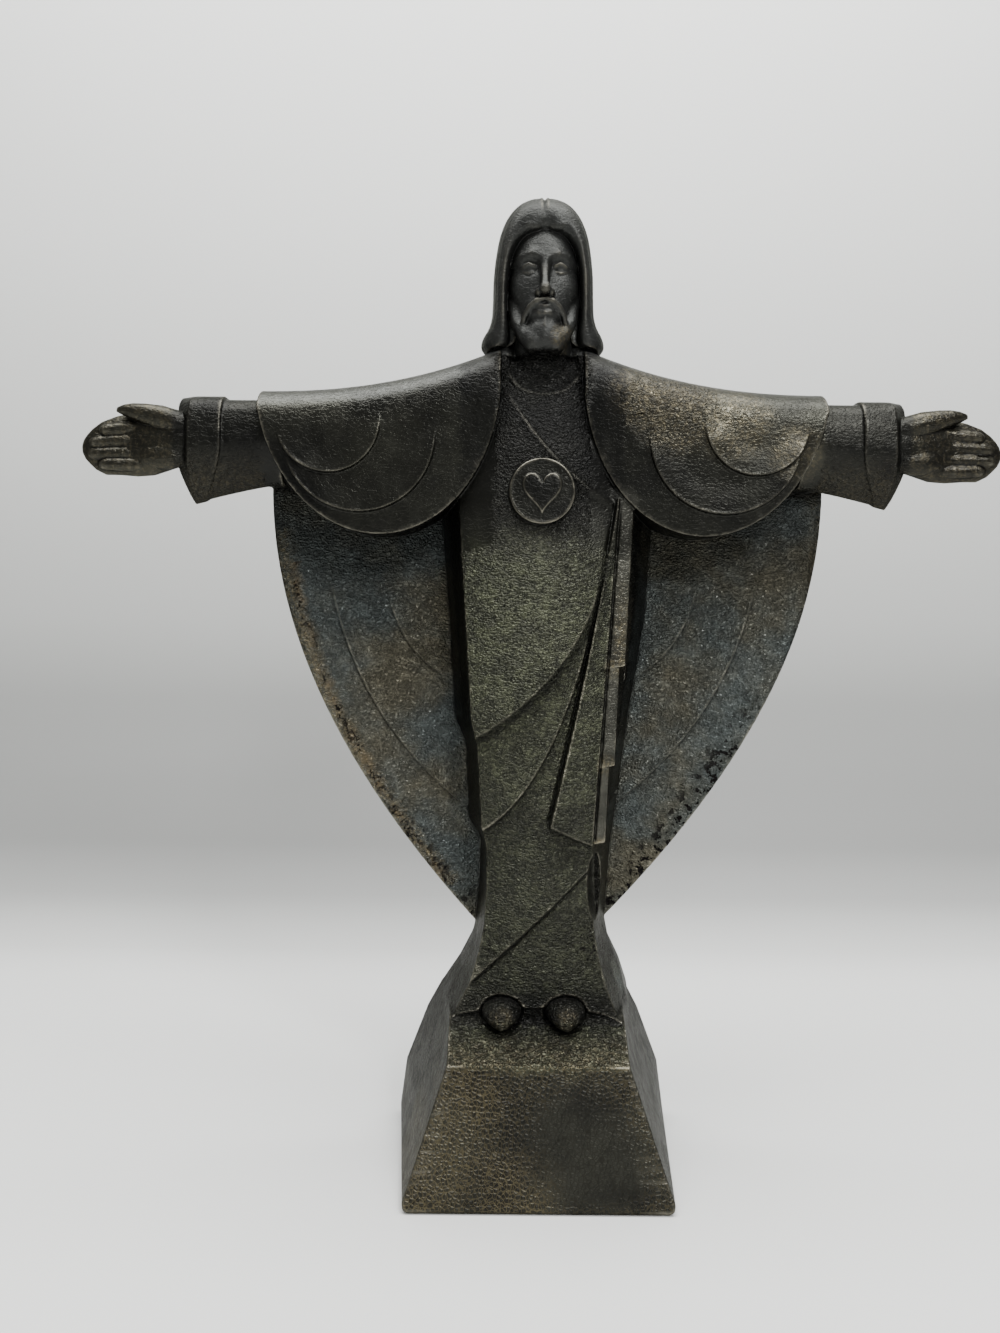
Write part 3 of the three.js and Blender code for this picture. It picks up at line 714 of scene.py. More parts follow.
def hood_form():
    def mould(p):
        s, t, r = (p + 0.5).T
        side = np.sign(2 * s - 1)
        arch = np.abs(2 * s - 1) ** 1.35
        out_x, out_z, open_x, open_z, back = flow(HOOD_ARCH, arch).T
        out_x = out_x + 0.6 * ramp(0, 0.3, arch)
        share, y = flow(HOOD_TURN, r).T
        rear = ramp(0.5, 1.0, r)
        low = ramp(0.55, 0.8, arch)
        x = open_x + (out_x - open_x) * share
        z = open_z + (out_z - open_z) * share
        # behind the middle the hood closes on the back of the head, and hangs straight below
        x = x + (out_x * share - x) * rear
        z = z + (326 + (out_z - 326) * share - z) * rear * (1 - low)
        z = z + (out_z - z) * rear * low
        y = y + back * (1 - ramp(0.3, 0.75, r)) - 6 * low * rear * (1 - rear)
        y = y - 4 * low * rear
        # the parting: a fine double line from the crown to the lip
        parting = np.exp(-((x / 0.45) ** 2)) - 0.45 * np.exp(-(((x - 1.15) / 0.4) ** 2))
        drop = 0.75 * parting * ramp(0.16, 0.3, r) * (1 - ramp(0.75, 0.9, r)) * (arch < 0.2)
        drop = drop + 0.9 * np.exp(-((x / 1.1) ** 2)) * ramp(0.02, 0.12, r) * (1 - ramp(0.2, 0.42, r))
        z = z - drop
        # a few long strands along the hood
        strands = sum(np.exp(-(((r - at) / 0.0085) ** 2)) for at in (0.335, 0.405, 0.47))
        sunk = 0.28 * strands * ramp(0.1, 0.2, arch) * (1 - ramp(0.8, 0.95, arch))
        middle_z = 326.0
        length = np.maximum(np.hypot(x, z - middle_z), 1e-3)
        x = x - sunk * x / length
        z = z - sunk * (z - middle_z) / length
        core_x, core_z = 0.55 * x, middle_z + 0.55 * (z - middle_z)
        core_x = core_x + (0.8 * x - core_x) * low
        core_z = core_z + (z + 1.5 - core_z) * low
        core_y = np.clip(y, -6, 12)
        x = x + (core_x - x) * t
        z = z + (core_z - z) * t
        y = y + (core_y - y) * t
        return np.stack([HEAD_X + side * x, y, z], 1)

    return shape(box_blank(260, 2, 110), mould)


def skull_forms():
    return [
        ball((HEAD_X, 3.5, 335), (14.8, 14.0, 19.5), 48, 32),
        ball((HEAD_X, 5.5, 316), (15.5, 11.0, 17.0), 48, 32),
        ball((HEAD_X, 2.0, 320), (14.4, 10.6, 24.0), 48, 32),
        # the hair swells on both sides of the parting
        *(ball((HEAD_X + across, -14.4, 344.2), (4.4, 2.2, 2.3), 40, 24) for across in (-5.2, 5.2)),
    ]


# Melting forms into one skin


def melt(name, forms, grain, softness):
    """One closed skin round overlapping forms, with its edges softened as a casting's are."""
    whole = bmesh.new()
    for form in forms:
        part = bpy.data.meshes.new(name)
        form.to_mesh(part)
        form.free()
        whole.from_mesh(part)
        bpy.data.meshes.remove(part)
    mesh = bpy.data.meshes.new(name)
    whole.to_mesh(mesh)
    whole.free()
    piece = bpy.data.objects.new(name, mesh)
    bpy.context.scene.collection.objects.link(piece)
    skin = piece.modifiers.new("skin", "REMESH")
    skin.mode = "VOXEL"
    skin.voxel_size = grain * MM
    if softness:
        soften = piece.modifiers.new("soften", "SMOOTH")
        soften.factor = 0.5
        soften.iterations = softness
    return settle(piece)


def settle(piece):
    """Makes a piece's modifiers part of its mesh."""
    shown = piece.evaluated_get(bpy.context.evaluated_depsgraph_get())
    mesh = bpy.data.meshes.new_from_object(shown)
    old = piece.data
    piece.modifiers.clear()
    piece.data = mesh
    bpy.data.meshes.remove(old)
    return piece


def iron(piece, passes):
    """Smooths only what is nearly flat already, so that edges stay where they are."""
    p, n = points_of(piece)
    a, b, count = neighbours(piece, len(p))
    amount = (0.6 * (1 - ramp(0.003, 0.012, sharpest_bend(n, a, b))))[:, None]
    for _ in range(passes):
        p += amount * (middle_of(p, a, b, count) - p)
    put_points(piece, p)


def sharpest_bend(n, a, b):
    """The sharpest bend of the skin along the edges that meet at each point."""
    bend = 1 - (n[a] * n[b]).sum(1)
    sharpest = np.zeros(len(n))
    np.maximum.at(sharpest, a, bend)
    np.maximum.at(sharpest, b, bend)
    return sharpest


def neighbours(piece, total):
    """The two ends of every edge, and how many edges meet at each point."""
    ends = np.empty(len(piece.data.edges) * 2, np.int64)
    piece.data.edges.foreach_get("vertices", ends)
    return ends[0::2], ends[1::2], np.maximum(np.bincount(ends, minlength=total), 1)


def middle_of(p, a, b, count):
    sums_by_axis = [np.bincount(a, p[b, k], len(p)) + np.bincount(b, p[a, k], len(p)) for k in range(3)]
    return np.stack(sums_by_axis, 1) / count[:, None]


def points_of(piece):
    """A piece's points in millimetres, and its normals."""
    mesh = piece.data
    points = np.empty(len(mesh.vertices) * 3)
    mesh.vertices.foreach_get("co", points)
    normals = np.empty(len(mesh.vertices) * 3)
    mesh.vertices.foreach_get("normal", normals)
    return points.reshape(-1, 3) / MM, normals.reshape(-1, 3)


def put_points(piece, points):
    piece.data.vertices.foreach_set("co", (points * MM).astype(np.float32).ravel())
    piece.data.update()


def thin(piece, triangles):
    """Fewer faces, spent where the form needs them, and evenly shaped where it is flat."""
    now = sum(len(p.vertices) - 2 for p in piece.data.polygons)
    fewer = piece.modifiers.new("fewer", "DECIMATE")
    fewer.ratio = min(1.0, triangles / now)
    settle(piece)
    for _ in range(3):
        bm = bmesh.new()
        bm.from_mesh(piece.data)
        flat = [e for e in bm.edges if len(e.link_faces) == 2 and e.calc_face_angle() < math.radians(8)]
        bmesh.ops.beautify_fill(bm, faces=bm.faces, edges=flat, method="ANGLE")
        bm.to_mesh(piece.data)
        bm.free()
        even_out(piece)
    return piece


def split_long(piece, longest, turned, passes):
    """Cuts long edges, and sooner those that leave a turned edge, so that marks stay in place."""
    for _ in range(passes):
        bm = bmesh.new()
        bm.from_mesh(piece.data)
        turn = bm.verts.layers.float["turn"]
        known = len(bm.verts)
        cuts = []
        for edge in bm.edges:
            a, b = edge.verts
            limit = turned if abs(a[turn] - b[turn]) > 0.25 else longest
            if edge.calc_length() > limit * MM:
                cuts.append(edge)
        bmesh.ops.subdivide_edges(bm, edges=cuts, cuts=1)
        bm.verts.ensure_lookup_table()
        for vert in bm.verts[known:]:
            vert[turn] *= 0.25
        bmesh.ops.triangulate(bm, faces=[f for f in bm.faces if len(f.verts) > 3])
        bm.to_mesh(piece.data)
        bm.free()


def follow_flats(piece):
    """Lets the shading of flat faces run up to their edges."""
    lean = piece.modifiers.new("lean", "WEIGHTED_NORMAL")
    lean.mode = "FACE_AREA"
    lean.weight = 50
    settle(piece)


def even_out(piece):
    """Slides points along the skin to the middle of their neighbours, where it is nearly flat."""
    p, n = points_of(piece)
    a, b, count = neighbours(piece, len(p))
    slide = middle_of(p, a, b, count) - p
    slide -= (slide * n).sum(1)[:, None] * n
    amount = 0.6 * (1 - ramp(0.004, 0.02, sharpest_bend(n, a, b)))
    put_points(piece, p + slide * amount[:, None])


# Chasing: fine relief on the melted skins


APRONS = (  # edge, lift, how far the edge slopes outwards and inwards
    (((26, 243), (25, 186), (-24.6, 157.2)), 2.3, 2.3, 0.5),
    (((26, 242), (14, 146), (-21.6, 123.2)), 1.3, 0.3, 0.3),
)
WRAP = ((-13.6, 287), (2, 257), (26, 244.5))
NECKLINE = ((-14.4, 298), (-12.8, 292), (-8.0, 285.6), (0.8, 283.2), (9.2, 285.7), (14.0, 292), (15.6, 298))
SASH = ((-24.5, 68.3), (-2, 90.2), (20, 111.6))
END_TOP, END_FOOT, END_SLANT = 246.0, 118.8, 7.4


def bow_gap(at, bow):
    """Signed gap to a bow: above 0 on its left."""
    return line_gap(at, bow_at(bow, np.linspace(0, 1, 50))) * np.sign(bow_across(bow, at[:, 1]) - at[:, 0])


def ridge(gap, height, half):
    return height * np.exp(-((gap / half) ** 2))


def robe_folds(at):
    """How far the robe's folds stand forward of its plain front."""
    x, z = at.T
    lift = np.zeros(len(at))
    whole = 1 - ramp(218, 246, z)
    for bow, high, outward, inward in APRONS:
        gap = bow_gap(at, bow)
        step = high * unit((gap + outward) / (outward + inward)) + ridge(gap - 0.5, 0.2, 0.45)
        lift += whole * ramp(bow[2][1] - 1, bow[2][1] + 2, z) * step
    # the long end that hangs at the side, with a deep groove on its left
    down = END_TOP - z
    left = 27.6 - 0.155 * down - 0.00036 * down**2
    right = 28.5 - 0.067 * down
    foot = END_FOOT + END_SLANT * unit((right - x) / np.maximum(right - left, 1))
    gap = np.minimum.reduce([x - left, z - foot, right - x, np.full(len(x), 3.0)])
    hangs = ramp(-0.25, 0.3, gap) * (z < END_TOP)
    lift = np.where(x > left, np.minimum(lift, 0.6), lift)
    lift += 1.9 * hangs + ridge(gap - 0.5, 0.22, 0.4) * (z < END_TOP - 4)
    lift -= ridge(x - left + 0.9, 1.1, 0.6) * ramp(foot - 1, foot + 4, z) * (1 - ramp(225, 240, z))
    lift -= ridge(x - right - 0.45, 0.8, 0.45) * ramp(119, 122, z) * (1 - ramp(236, 244, z))
    # the sash across the shins
    gap = line_gap(at, SASH) * np.sign(bow_across(SASH, z) - x)
    lower = ramp(67.5, 70.5, z) * (1 - ramp(108, 113, z))
    lift += lower * (0.8 * ramp(-0.2, 0.3, gap) * (1 - ramp(2, 16, gap)) - ridge(gap + 0.5, 0.45, 0.5))
    # the edge that wraps over the chest
    gap = bow_gap(at, WRAP)
    fade = (z > 240) * (1 - ramp(286, 292, z)) * (1 - 0.75 * ramp(268, 288, z))
    step = 0.9 * ramp(-0.5, 0.5, gap) * (1 - ramp(3, 20, gap)) * ramp(246, 256, z)
    lift += fade * (step + ridge(gap - 0.8, 0.8, 1.35))
    # the neckline and the throat behind it
    edge = flow(NECKLINE, np.linspace(0, 1, 80))
    gap = line_gap(at, edge[::2])
    inside = (z > np.interp(x, edge[:, 0], edge[:, 1])) & (x > edge[0, 0]) & (x < edge[-1, 0])
    throat = np.where(inside, 1.5 * ramp(0.5, 3.0, gap), 0)
    return lift + (ridge(gap, 0.45, 0.75) * (1 - ramp(289, 297, z)) - throat)


def fold_step(inside, lift, scoop):
    """A fold's profile: a fine bead on its edge, and a gentle scoop that climbs back inside it."""
    rise = lift * ramp(-0.35, 0.25, inside) * (1 - 0.9 * ramp(0.5, scoop, inside))
    return rise + 0.28 * np.exp(-(((inside - 0.35) / 0.4) ** 2))


def chase_cloth(piece):
    p, n = points_of(piece)
    x, y, z = p.T
    side = np.where(x < 0, -1, 1)
    far = np.abs(x)
    move = np.zeros(len(p))

    # raised half round folds on the cloth over the arms
    on_mantle = (far > 17) & (far < 104) & (z > 228) & (y < -4) & (n[:, 1] < -0.1)
    for across, height, radius, lift in MANTLE_FOLDS:
        du, dv = (far - across) / radius, (z - height) / radius
        inside = (1 - np.hypot(du, np.minimum(dv, 0))) * radius
        fade = 1 - ramp(-0.5, 0.0, dv + 0.15 * du)
        move += np.where(on_mantle, fold_step(inside, lift, 13) * fade, 0)

    # folds on the cape, fading upwards
    on_cape = (far > 20) & (z > 84) & (z < 246) & (y > 2) & (n[:, 1] < -0.3)
    for bow in CAPE_FOLDS:
        inside = bow_across(bow, z) * np.where(side < 0, 0.98, 1.02) - far
        low, high = bow[2][1], bow[0][1]
        fade = ramp(low - 1, low + 2, z) * (1 - ramp(high - 30, high + 4, z))
        move += np.where(on_cape, fold_step(inside, 1.0, 14) * fade, 0)

    # the folds of the robe, over its front only
    border = robe_half(x, z) + 0.2
    robe = (far < border) & (z > 60) & (z < 299) & (y < robe_front(x, z) + 2.5) & (n[:, 1] < -0.15)
    move[robe] += robe_folds(p[robe][:, [0, 2]])

    # the hem arches over each foot and dips between them, and each foot stands in a groove
    low_front = (z > 49) & (z < 72) & (y < -6) & (far < 31) & (n[:, 1] < 0.2)
    arch = 59.8 - 3.6 * (np.abs(x + 1.6) / 29) ** 2.5
    groove = np.zeros(len(p))
    for foot_x in FOOT_X.values():
        arch += 3.0 * np.exp(-(((x - foot_x) / 7.0) ** 4))
        gap = (np.hypot((x - foot_x) / 8.1, (z - FOOT_Z) / 6.4) - 1) * 7.0
        groove += ridge(gap - 0.5, 0.3, 0.55) - 1.0 * (1 - ramp(-1.0, 0.1, gap))
    over = z - arch
    hem = 0.6 * ramp(-0.3, 0.3, over) * (1 - ramp(1.5, 6.0, over)) + ridge(over - 0.6, 0.35, 0.6)
    move += np.where(low_front, hem + groove, 0)

    # the block's front is dead flat
    plane = row_at(BLOCK_ROWS, z, 1)
    on_block = (z > 4) & (z < 44.4) & (np.abs(y - plane) < 0.5) & (n[:, 1] < -0.93)
    move += np.where(on_block, y - plane, 0)

    # a smooth chamfer along the rim of the cape
    points = bow_at(CAPE_EDGE, np.linspace(0, 1, 200))
    order = np.argsort(points[:, 1])
    widen = np.where(side < 0, CAPE_WIDEN[-1], CAPE_WIDEN[1])
    rim = np.interp(z, points[order, 1], points[order, 0]) * widen - far
    move -= np.where(on_cape & (rim < 3), 0.8 * (1 - ramp(0.6, 2.6, rim)) * ramp(150, 200, z), 0)
    p[:, 1] -= move
    put_points(piece, p)


def read_turn(piece):
    """How sharply the skin turns outwards (above 0) or inwards (below 0), per millimetre."""
    p, n = points_of(piece)
    a, b, count = neighbours(piece, len(p))
    gap = p[a] - p[b]
    length = np.maximum((gap * gap).sum(1), 0.02)
    bend = np.clip(((n[a] - n[b]) * gap).sum(1) / length, -3, 3)
    turn = (np.bincount(a, bend, len(p)) + np.bincount(b, bend, len(p))) / count
    for _ in range(2):
        around = (np.bincount(a, turn[b], len(p)) + np.bincount(b, turn[a], len(p))) / count
        turn = 0.5 * turn + 0.5 * around
    return turn


def join(piece, other, operation):
    tool = piece.modifiers.new("join", "BOOLEAN")
    tool.operation = operation
    tool.solver = "MANIFOLD"
    tool.object = other
    settle(piece)
    bpy.data.objects.remove(other)


def pocket_form():
    """The deep almond shaped pocket below the pleats."""

    def mould(p):
        x, y, z = p.T
        narrow = np.sqrt(unit(1 - np.abs(z) ** 2.2)) / np.maximum(np.hypot(x, y), 1e-3)
        return np.stack([22.6 + 4.6 * x * narrow - 0.5 * z, -9 + 13 * y * narrow, 103.2 + 13.6 * z], 1)

    return shape(ball_blank(40, 48), mould)


def build_figurine():
    cloth = [block_form(), robe_form(), *pleat_forms(), *neck_forms()]
    for side in (-1, 1):
        cloth += [cape_form(side), mantle_form(side), sleeve_form(side), cuff_form(side)]
        # fills the gap behind the arm, where sleeve and cape meet
        arm = ((side * 88, 4, 259, 7, 7), (side * 98, 4, 258, 6.5, 7), (side * 107, 3, 258, 6, 6))
        cloth.append(bar(arm))
    body = melt("figurine_cast", cloth, FINE_SKIN, 2)
    iron(body, 14)
    chase_cloth(body)
    join(body, melt("pocket", [pocket_form()], 0.4, 1), "DIFFERENCE")
    join(body, melt("head_cast", [face_form(), hood_form(), *skull_forms()], FINER_SKIN, 1), "UNION")
    for side in (-1, 1):
        join(body, melt("hand_cast", hand_forms(side), FINER_SKIN, 2), "UNION")
    join(body, melt("medal_cast", medal_forms(), FINER_SKIN, 1), "UNION")
    join(body, melt("feet_cast", foot_forms(), 0.3, 2), "UNION")
    turn = body.data.attributes.new("turn", "FLOAT", "POINT")
    turn.data.foreach_set("value", read_turn(body).astype(np.float32))
    thin(body, TRIANGLES)
    split_long(body, 4.0, 1.2, 3)
    return body


figurine = build_figurine()
for polygon in figurine.data.polygons:
    polygon.use_smooth = True
follow_flats(figurine)


# Where the finish changes, and where shade, sheen and highlights are painted: masks from 0 to 1 on the skin


MASKS = ["stipple", "coarse", "satin", "rub", "sunk", "bare"]
MASKS += ["olive", "gold", "pits", "crack", "blue", "dull"]


def patch(p, places, spread):
    """A soft patch round places of (across, up, size), read from the front."""
    amount = np.zeros(len(p))
    for across, up, size in places:
        gap = np.hypot(p[:, 0] - across, p[:, 2] - up) / (size * spread)
        amount = np.maximum(amount, 1 - ramp(0.55, 1.0, gap))
    return amount


def near_line(p, line, reach):
    """1 on a line of (across, up) places, read from the front, fading to 0 at its reach."""
    return 1 - ramp(0.3 * reach, reach, line_gap(p[:, [0, 2]], line))


def cape_outline(side):
    points = bow_at(CAPE_EDGE, np.linspace(0, 1, 30))
    return [(side * CAPE_WIDEN[side] * x, z) for x, z in points]


def finish_masks(piece):
    p, n = points_of(piece)
    x, y, z = p.T
    front, outward = ramp(0.05, 0.45, -n[:, 1]), -n[:, 1]
    far_x = np.abs(x)
    left = x < 0
    turn = np.empty(len(p))
    piece.data.attributes["turn"].data.foreach_get("value", turn)
    piece.data.attributes.remove(piece.data.attributes["turn"])

    # the regions
    head = (z > 299) & (far_x < 24)
    hands = far_x > 134.5
    arms = (far_x > 103) & ~hands
    medal = np.hypot(x, z - MEDAL_Z) < MEDAL_RADIUS + 0.6
    medal_face = medal & (y < -10)
    flank = (z < 60) & (np.abs(n[:, 0]) > 0.45)
    pleats = (x > 28.5 - 0.067 * (246 - z)) & (x < 35) & (z > 117) & (z < 250) & (y > -12.5) & (y < 2)
    beside_robe = (y > -7) & (far_x < 46) & (far_x > 17) & (z > 84) & (z < 250) & (np.abs(n[:, 0]) > 0.4)
    mantle = (far_x > 17) & (far_x < 105) & (z > 226) & (y < -2)
    on_roll = (far_x > 20) & (far_x < 104)
    under_top = mantle_top(far_x) - z
    roll = on_roll * ramp(-10.5, -4.0, -under_top)
    # the very top of the roll, which is painted darker as painted shade
    crest = on_roll * (1 - ramp(0.5, 4.0, under_top))
    chest = ramp(226, 246, z) * (far_x < 30) * (y < -6)
    robe = (far_x < 30) & (y < -7) & ~medal & ~pleats
    ledge = (z > 44) & (far_x < 32) & (y < -13)
    cape = (y > 4) & (n[:, 1] < -0.3) & (z < 250)
    bow, _, slope, _ = APRONS[0]
    # the apron's sloping edge, painted dark as painted shade
    gap = bow_gap(p[:, [0, 2]], bow)
    on_robe = (far_x < 29) & (y < -8) & (z > 120) & (z < 236)
    edge_band = on_robe * ramp(-slope - 0.8, -slope + 0.3, gap) * (1 - ramp(-0.1, 0.9, gap))

    # how deep the punched skin is
    stipple = np.where(head | hands | medal_face | pleats, 0.12, 1.0)
    stipple = np.where(flank, 0.6, stipple)
    below_roll = 0.09 + 0.09 * ramp(4, 8, under_top) * (1 - ramp(10, 20, under_top))
    stipple = np.where(mantle, below_roll, stipple)
    stipple = stipple + (0.15 - stipple) * roll
    stipple = np.where(patch(p, ((46, 279, 22),), 1.0) * mantle > 0.5, 0.38, stipple)
    stipple = np.where(beside_robe, 0.2, stipple)
    stipple = np.where(arms, 0.16 + 0.35 * (1 - ramp(252, 266, z)), stipple)
    stipple = stipple * (1 - 0.75 * ramp(0.25, 0.7, np.abs(turn)))

    # painted shade: what lies deep or in shadow is painted dark, and so are the very top of the roll, the
    # right roll, the cape under the cloth over the arms, the apron's sloping edge, the medal's front faces,
    # the block's flanks (more on the right), the arms, hands and chest, and the lower cloth over the arms
    medal_depth = np.where(outward > 0.93, np.where(y < MEDAL_FRONT + 0.5, 0.95, 0.7), 0.2)
    sunk = np.maximum.reduce(
        [
            ramp(0.10, 0.6, -turn),
            0.55 * crest,
            0.3 * roll * (x > 0),
            0.6 * cape * ramp(196, 238, z),
            beside_robe * (0.35 + 0.45 * ramp(150, 175, z)),
            0.55 * edge_band,
            medal_face * medal_depth,
            np.where(left, 0.6, 0.75) * flank,
            0.7 * arms,
            0.35 * hands,
            0.75 * chest * ~medal,
            np.where(left, 0.4, 0.6) * mantle * (1 - ramp(250, 272, z)),
        ]
    )

    # where the patina is worn to a warm gold, and a painted golden highlight on the right shoulder
    left_rim, right_rim = cape_outline(-1), cape_outline(1)
    feet = [(foot_x, 57.5, 5.5) for foot_x in FOOT_X.values()]
    pleat_feet = patch(p, ((28, 184.5, 4.5), (25, 148.5, 4.0), (22.2, 119.6, 2.6)), 1.2) * (y < 0)
    block_left = patch(p, ((-36, 14, 16), (-25, 34, 12), (-41, 3, 12), (-8, 6, 14)), 1.2) * (y < 0)
    # painted highlight: the key light's golden glints on the right shoulder, on faces turned to the front
    shoulder = patch(p, ((50, 280, 17), (36, 284, 12), (68, 274, 14), (92, 262, 10)), 1.3) * front
    rim_front = (z < 236) * (z > 100) * (outward > -0.3)
    gold = np.maximum.reduce(
        [
            shoulder * 0.28,
            near_line(p, left_rim, 8.0) * rim_front * 0.6,
            block_left * 0.6,
            pleat_feet * (0.35 + 0.65 * ramp(0.05, 0.3, turn)),
            ramp(26, 28.5, x) * (1 - ramp(195, 222, z)) * ((z > 184) & pleats) * 0.5,
            patch(p, ((7.5, 303.5, 5),), 1.2) * head * (y < -8) * 0.8,
            hands * front * 0.24,
            arms * (1 - ramp(250, 264, z)) * 0.3,
            patch(p, feet, 1.1) * (y < -14) * 0.25,
            ledge * (1 - ramp(46, 54, z)) * 0.35,
        ]
    )

    olive = ramp(110, 150, z) * (1 - ramp(214, 240, z))
    low_olive = 0.6 * ramp(60, 72, z) * (1 - ramp(120, 140, z))
    right_pits = near_line(p, right_rim, 14.0) * (1 - ramp(150, 190, z))
    left_pits = near_line(p, left_rim, 11.0) * (1 - ramp(120, 165, z)) * 0.7
    inner = [(bx * 0.955, bz + 1.0) for bx, bz in left_rim]
    masks = {
        "stipple": stipple,
        "coarse": (z < 45.5) & (outward > 0.3),
        # painted sheen: a pale grey painted on the hair's front faces and on the band under the roll's top,
        # stronger on the left; it also makes the surface rougher
        "satin": np.maximum(
            head * (1 - 0.55 * ramp(0.0, 0.6, -outward)),
            roll * ramp(1.0, 4.0, under_top) * np.where(left, 0.6, 0.1),
        ),
        # outward edges: patina worn pale, and a painted highlight along the edges that catch the light
        "rub": 0.85 * ramp(0.16, 0.75, turn) * np.where((z < 75) & (y > 0), 0.25, 1.0),
        "sunk": sunk,
        "bare": np.maximum(pleats * (outward > 0.3), 0.6 * beside_robe * (z < 160)),
        "olive": np.maximum(robe * front * np.maximum(olive, low_olive), 0.6 * (ledge & (z < 58))),
        "gold": gold,
        "pits": np.maximum(right_pits, left_pits),
        "crack": near_line(p, inner, 2.6) * (z < 224) * rim_front,
        "blue": 0.9 * (cape & (z > 60)),
        "dull": patch(p, ((14, 20, 20), (26, 14, 14)), 1.2) * (y < -20),
    }
    for name in MASKS:
        layer = piece.data.attributes.new(name, "FLOAT", "POINT")
        layer.data.foreach_set("value", unit(masks[name]).astype(np.float32))


finish_masks(figurine)


# Materials


def feed(tree, value, socket):
    """Links an output to a socket, or gives the socket a value."""
    if hasattr(value, "is_linked"):
        tree.links.new(value, socket)
    else:
        socket.default_value = value


def node(tree, kind, **settings):
    """A new node with its inputs fed and its properties set."""
    made = tree.nodes.new(kind)
    for name, value in settings.items():
        if name in made.inputs:
            feed(tree, value, made.inputs[name])
        else:
            setattr(made, name, value)
    return made


def object_place(tree):
    return tree.nodes.new("ShaderNodeTexCoord").outputs["Object"]


def sums(tree, operation, a, b, clamp=False):
    made = node(tree, "ShaderNodeMath", operation=operation, use_clamp=clamp)
    feed(tree, a, made.inputs[0])
    feed(tree, b, made.inputs[1])
    return made.outputs[0]


def mixed(tree, amount, a, b):
    """A mix of two colours."""
    made = node(tree, "ShaderNodeMix", data_type="RGBA")
    for socket, value in ((made.inputs[0], amount), (made.inputs[6], a), (made.inputs[7], b)):
        feed(tree, value, socket)
    return made.outputs[2]


def stepped(tree, value, low, high):
    """0 below low and 1 above high."""
    limits = {"Value": value, "From Min": low, "From Max": high}
    made = node(tree, "ShaderNodeMapRange", interpolation_type="SMOOTHSTEP", **limits)
    return made.outputs["Result"]


def hammered_group():
    """Small pebbles with a net of lines between, crinkled over, as from a texturing punch."""
    tree = bpy.data.node_groups.new("hammered skin", "ShaderNodeTree")
    face = tree.interface
    for name, value in (("Pebbles per metre", 900.0), ("Wander", 0.35), ("Crinkle", 0.5)):
        face.new_socket(name, in_out="INPUT", socket_type="NodeSocketFloat").default_value = value
    for name in ("Height", "Net"):
        face.new_socket(name, in_out="OUTPUT", socket_type="NodeSocketFloat")
    into, out = tree.nodes.new("NodeGroupInput"), tree.nodes.new("NodeGroupOutput")
    per_metre, wander, crinkle = (into.outputs[k] for k in range(3))

    def times(a, b):
        return sums(tree, "MULTIPLY", a, b)

    # pebbles, with the places of their borders shaken a little
    where = object_place(tree)
    wobble = node(tree, "ShaderNodeTexNoise", Vector=where, Scale=times(per_metre, 0.6), Detail=1.0)
    shift = node(tree, "ShaderNodeVectorMath", operation="SCALE", Vector=wobble.outputs["Color"])
    feed(tree, sums(tree, "DIVIDE", wander, per_metre), shift.inputs["Scale"])
    moved = node(tree, "ShaderNodeVectorMath", operation="ADD", Vector=where)
    feed(tree, shift.outputs[0], moved.inputs[1])
    cells = node(tree, "ShaderNodeTexVoronoi", feature="DISTANCE_TO_EDGE", Vector=moved.outputs[0])
    feed(tree, per_metre, cells.inputs["Scale"])
    dome = stepped(tree, cells.outputs["Distance"], 0.0, 0.32)
    net = stepped(tree, cells.outputs["Distance"], 0.11, 0.02)

    # short crinkles, longer across than up
    flat = node(tree, "ShaderNodeMapping", Vector=where, Scale=(0.75, 0.75, 1.35))
    waves = node(tree, "ShaderNodeTexNoise", Detail=2.0, Roughness=0.55, Distortion=0.6)
    feed(tree, flat.outputs[0], waves.inputs["Vector"])
    feed(tree, times(per_metre, 0.85), waves.inputs["Scale"])
    crest = stepped(tree, waves.outputs[0], 0.41, 0.58)

    pebbly = sums(tree, "SUBTRACT", 1.0, crinkle)
    height = sums(tree, "ADD", times(dome, pebbly), times(crest, crinkle))
    low = times(sums(tree, "SUBTRACT", 1.0, crest), crinkle)
    feed(tree, height, out.inputs["Height"])
    feed(tree, sums(tree, "ADD", low, times(net, pebbly), True), out.inputs["Net"])
    return tree


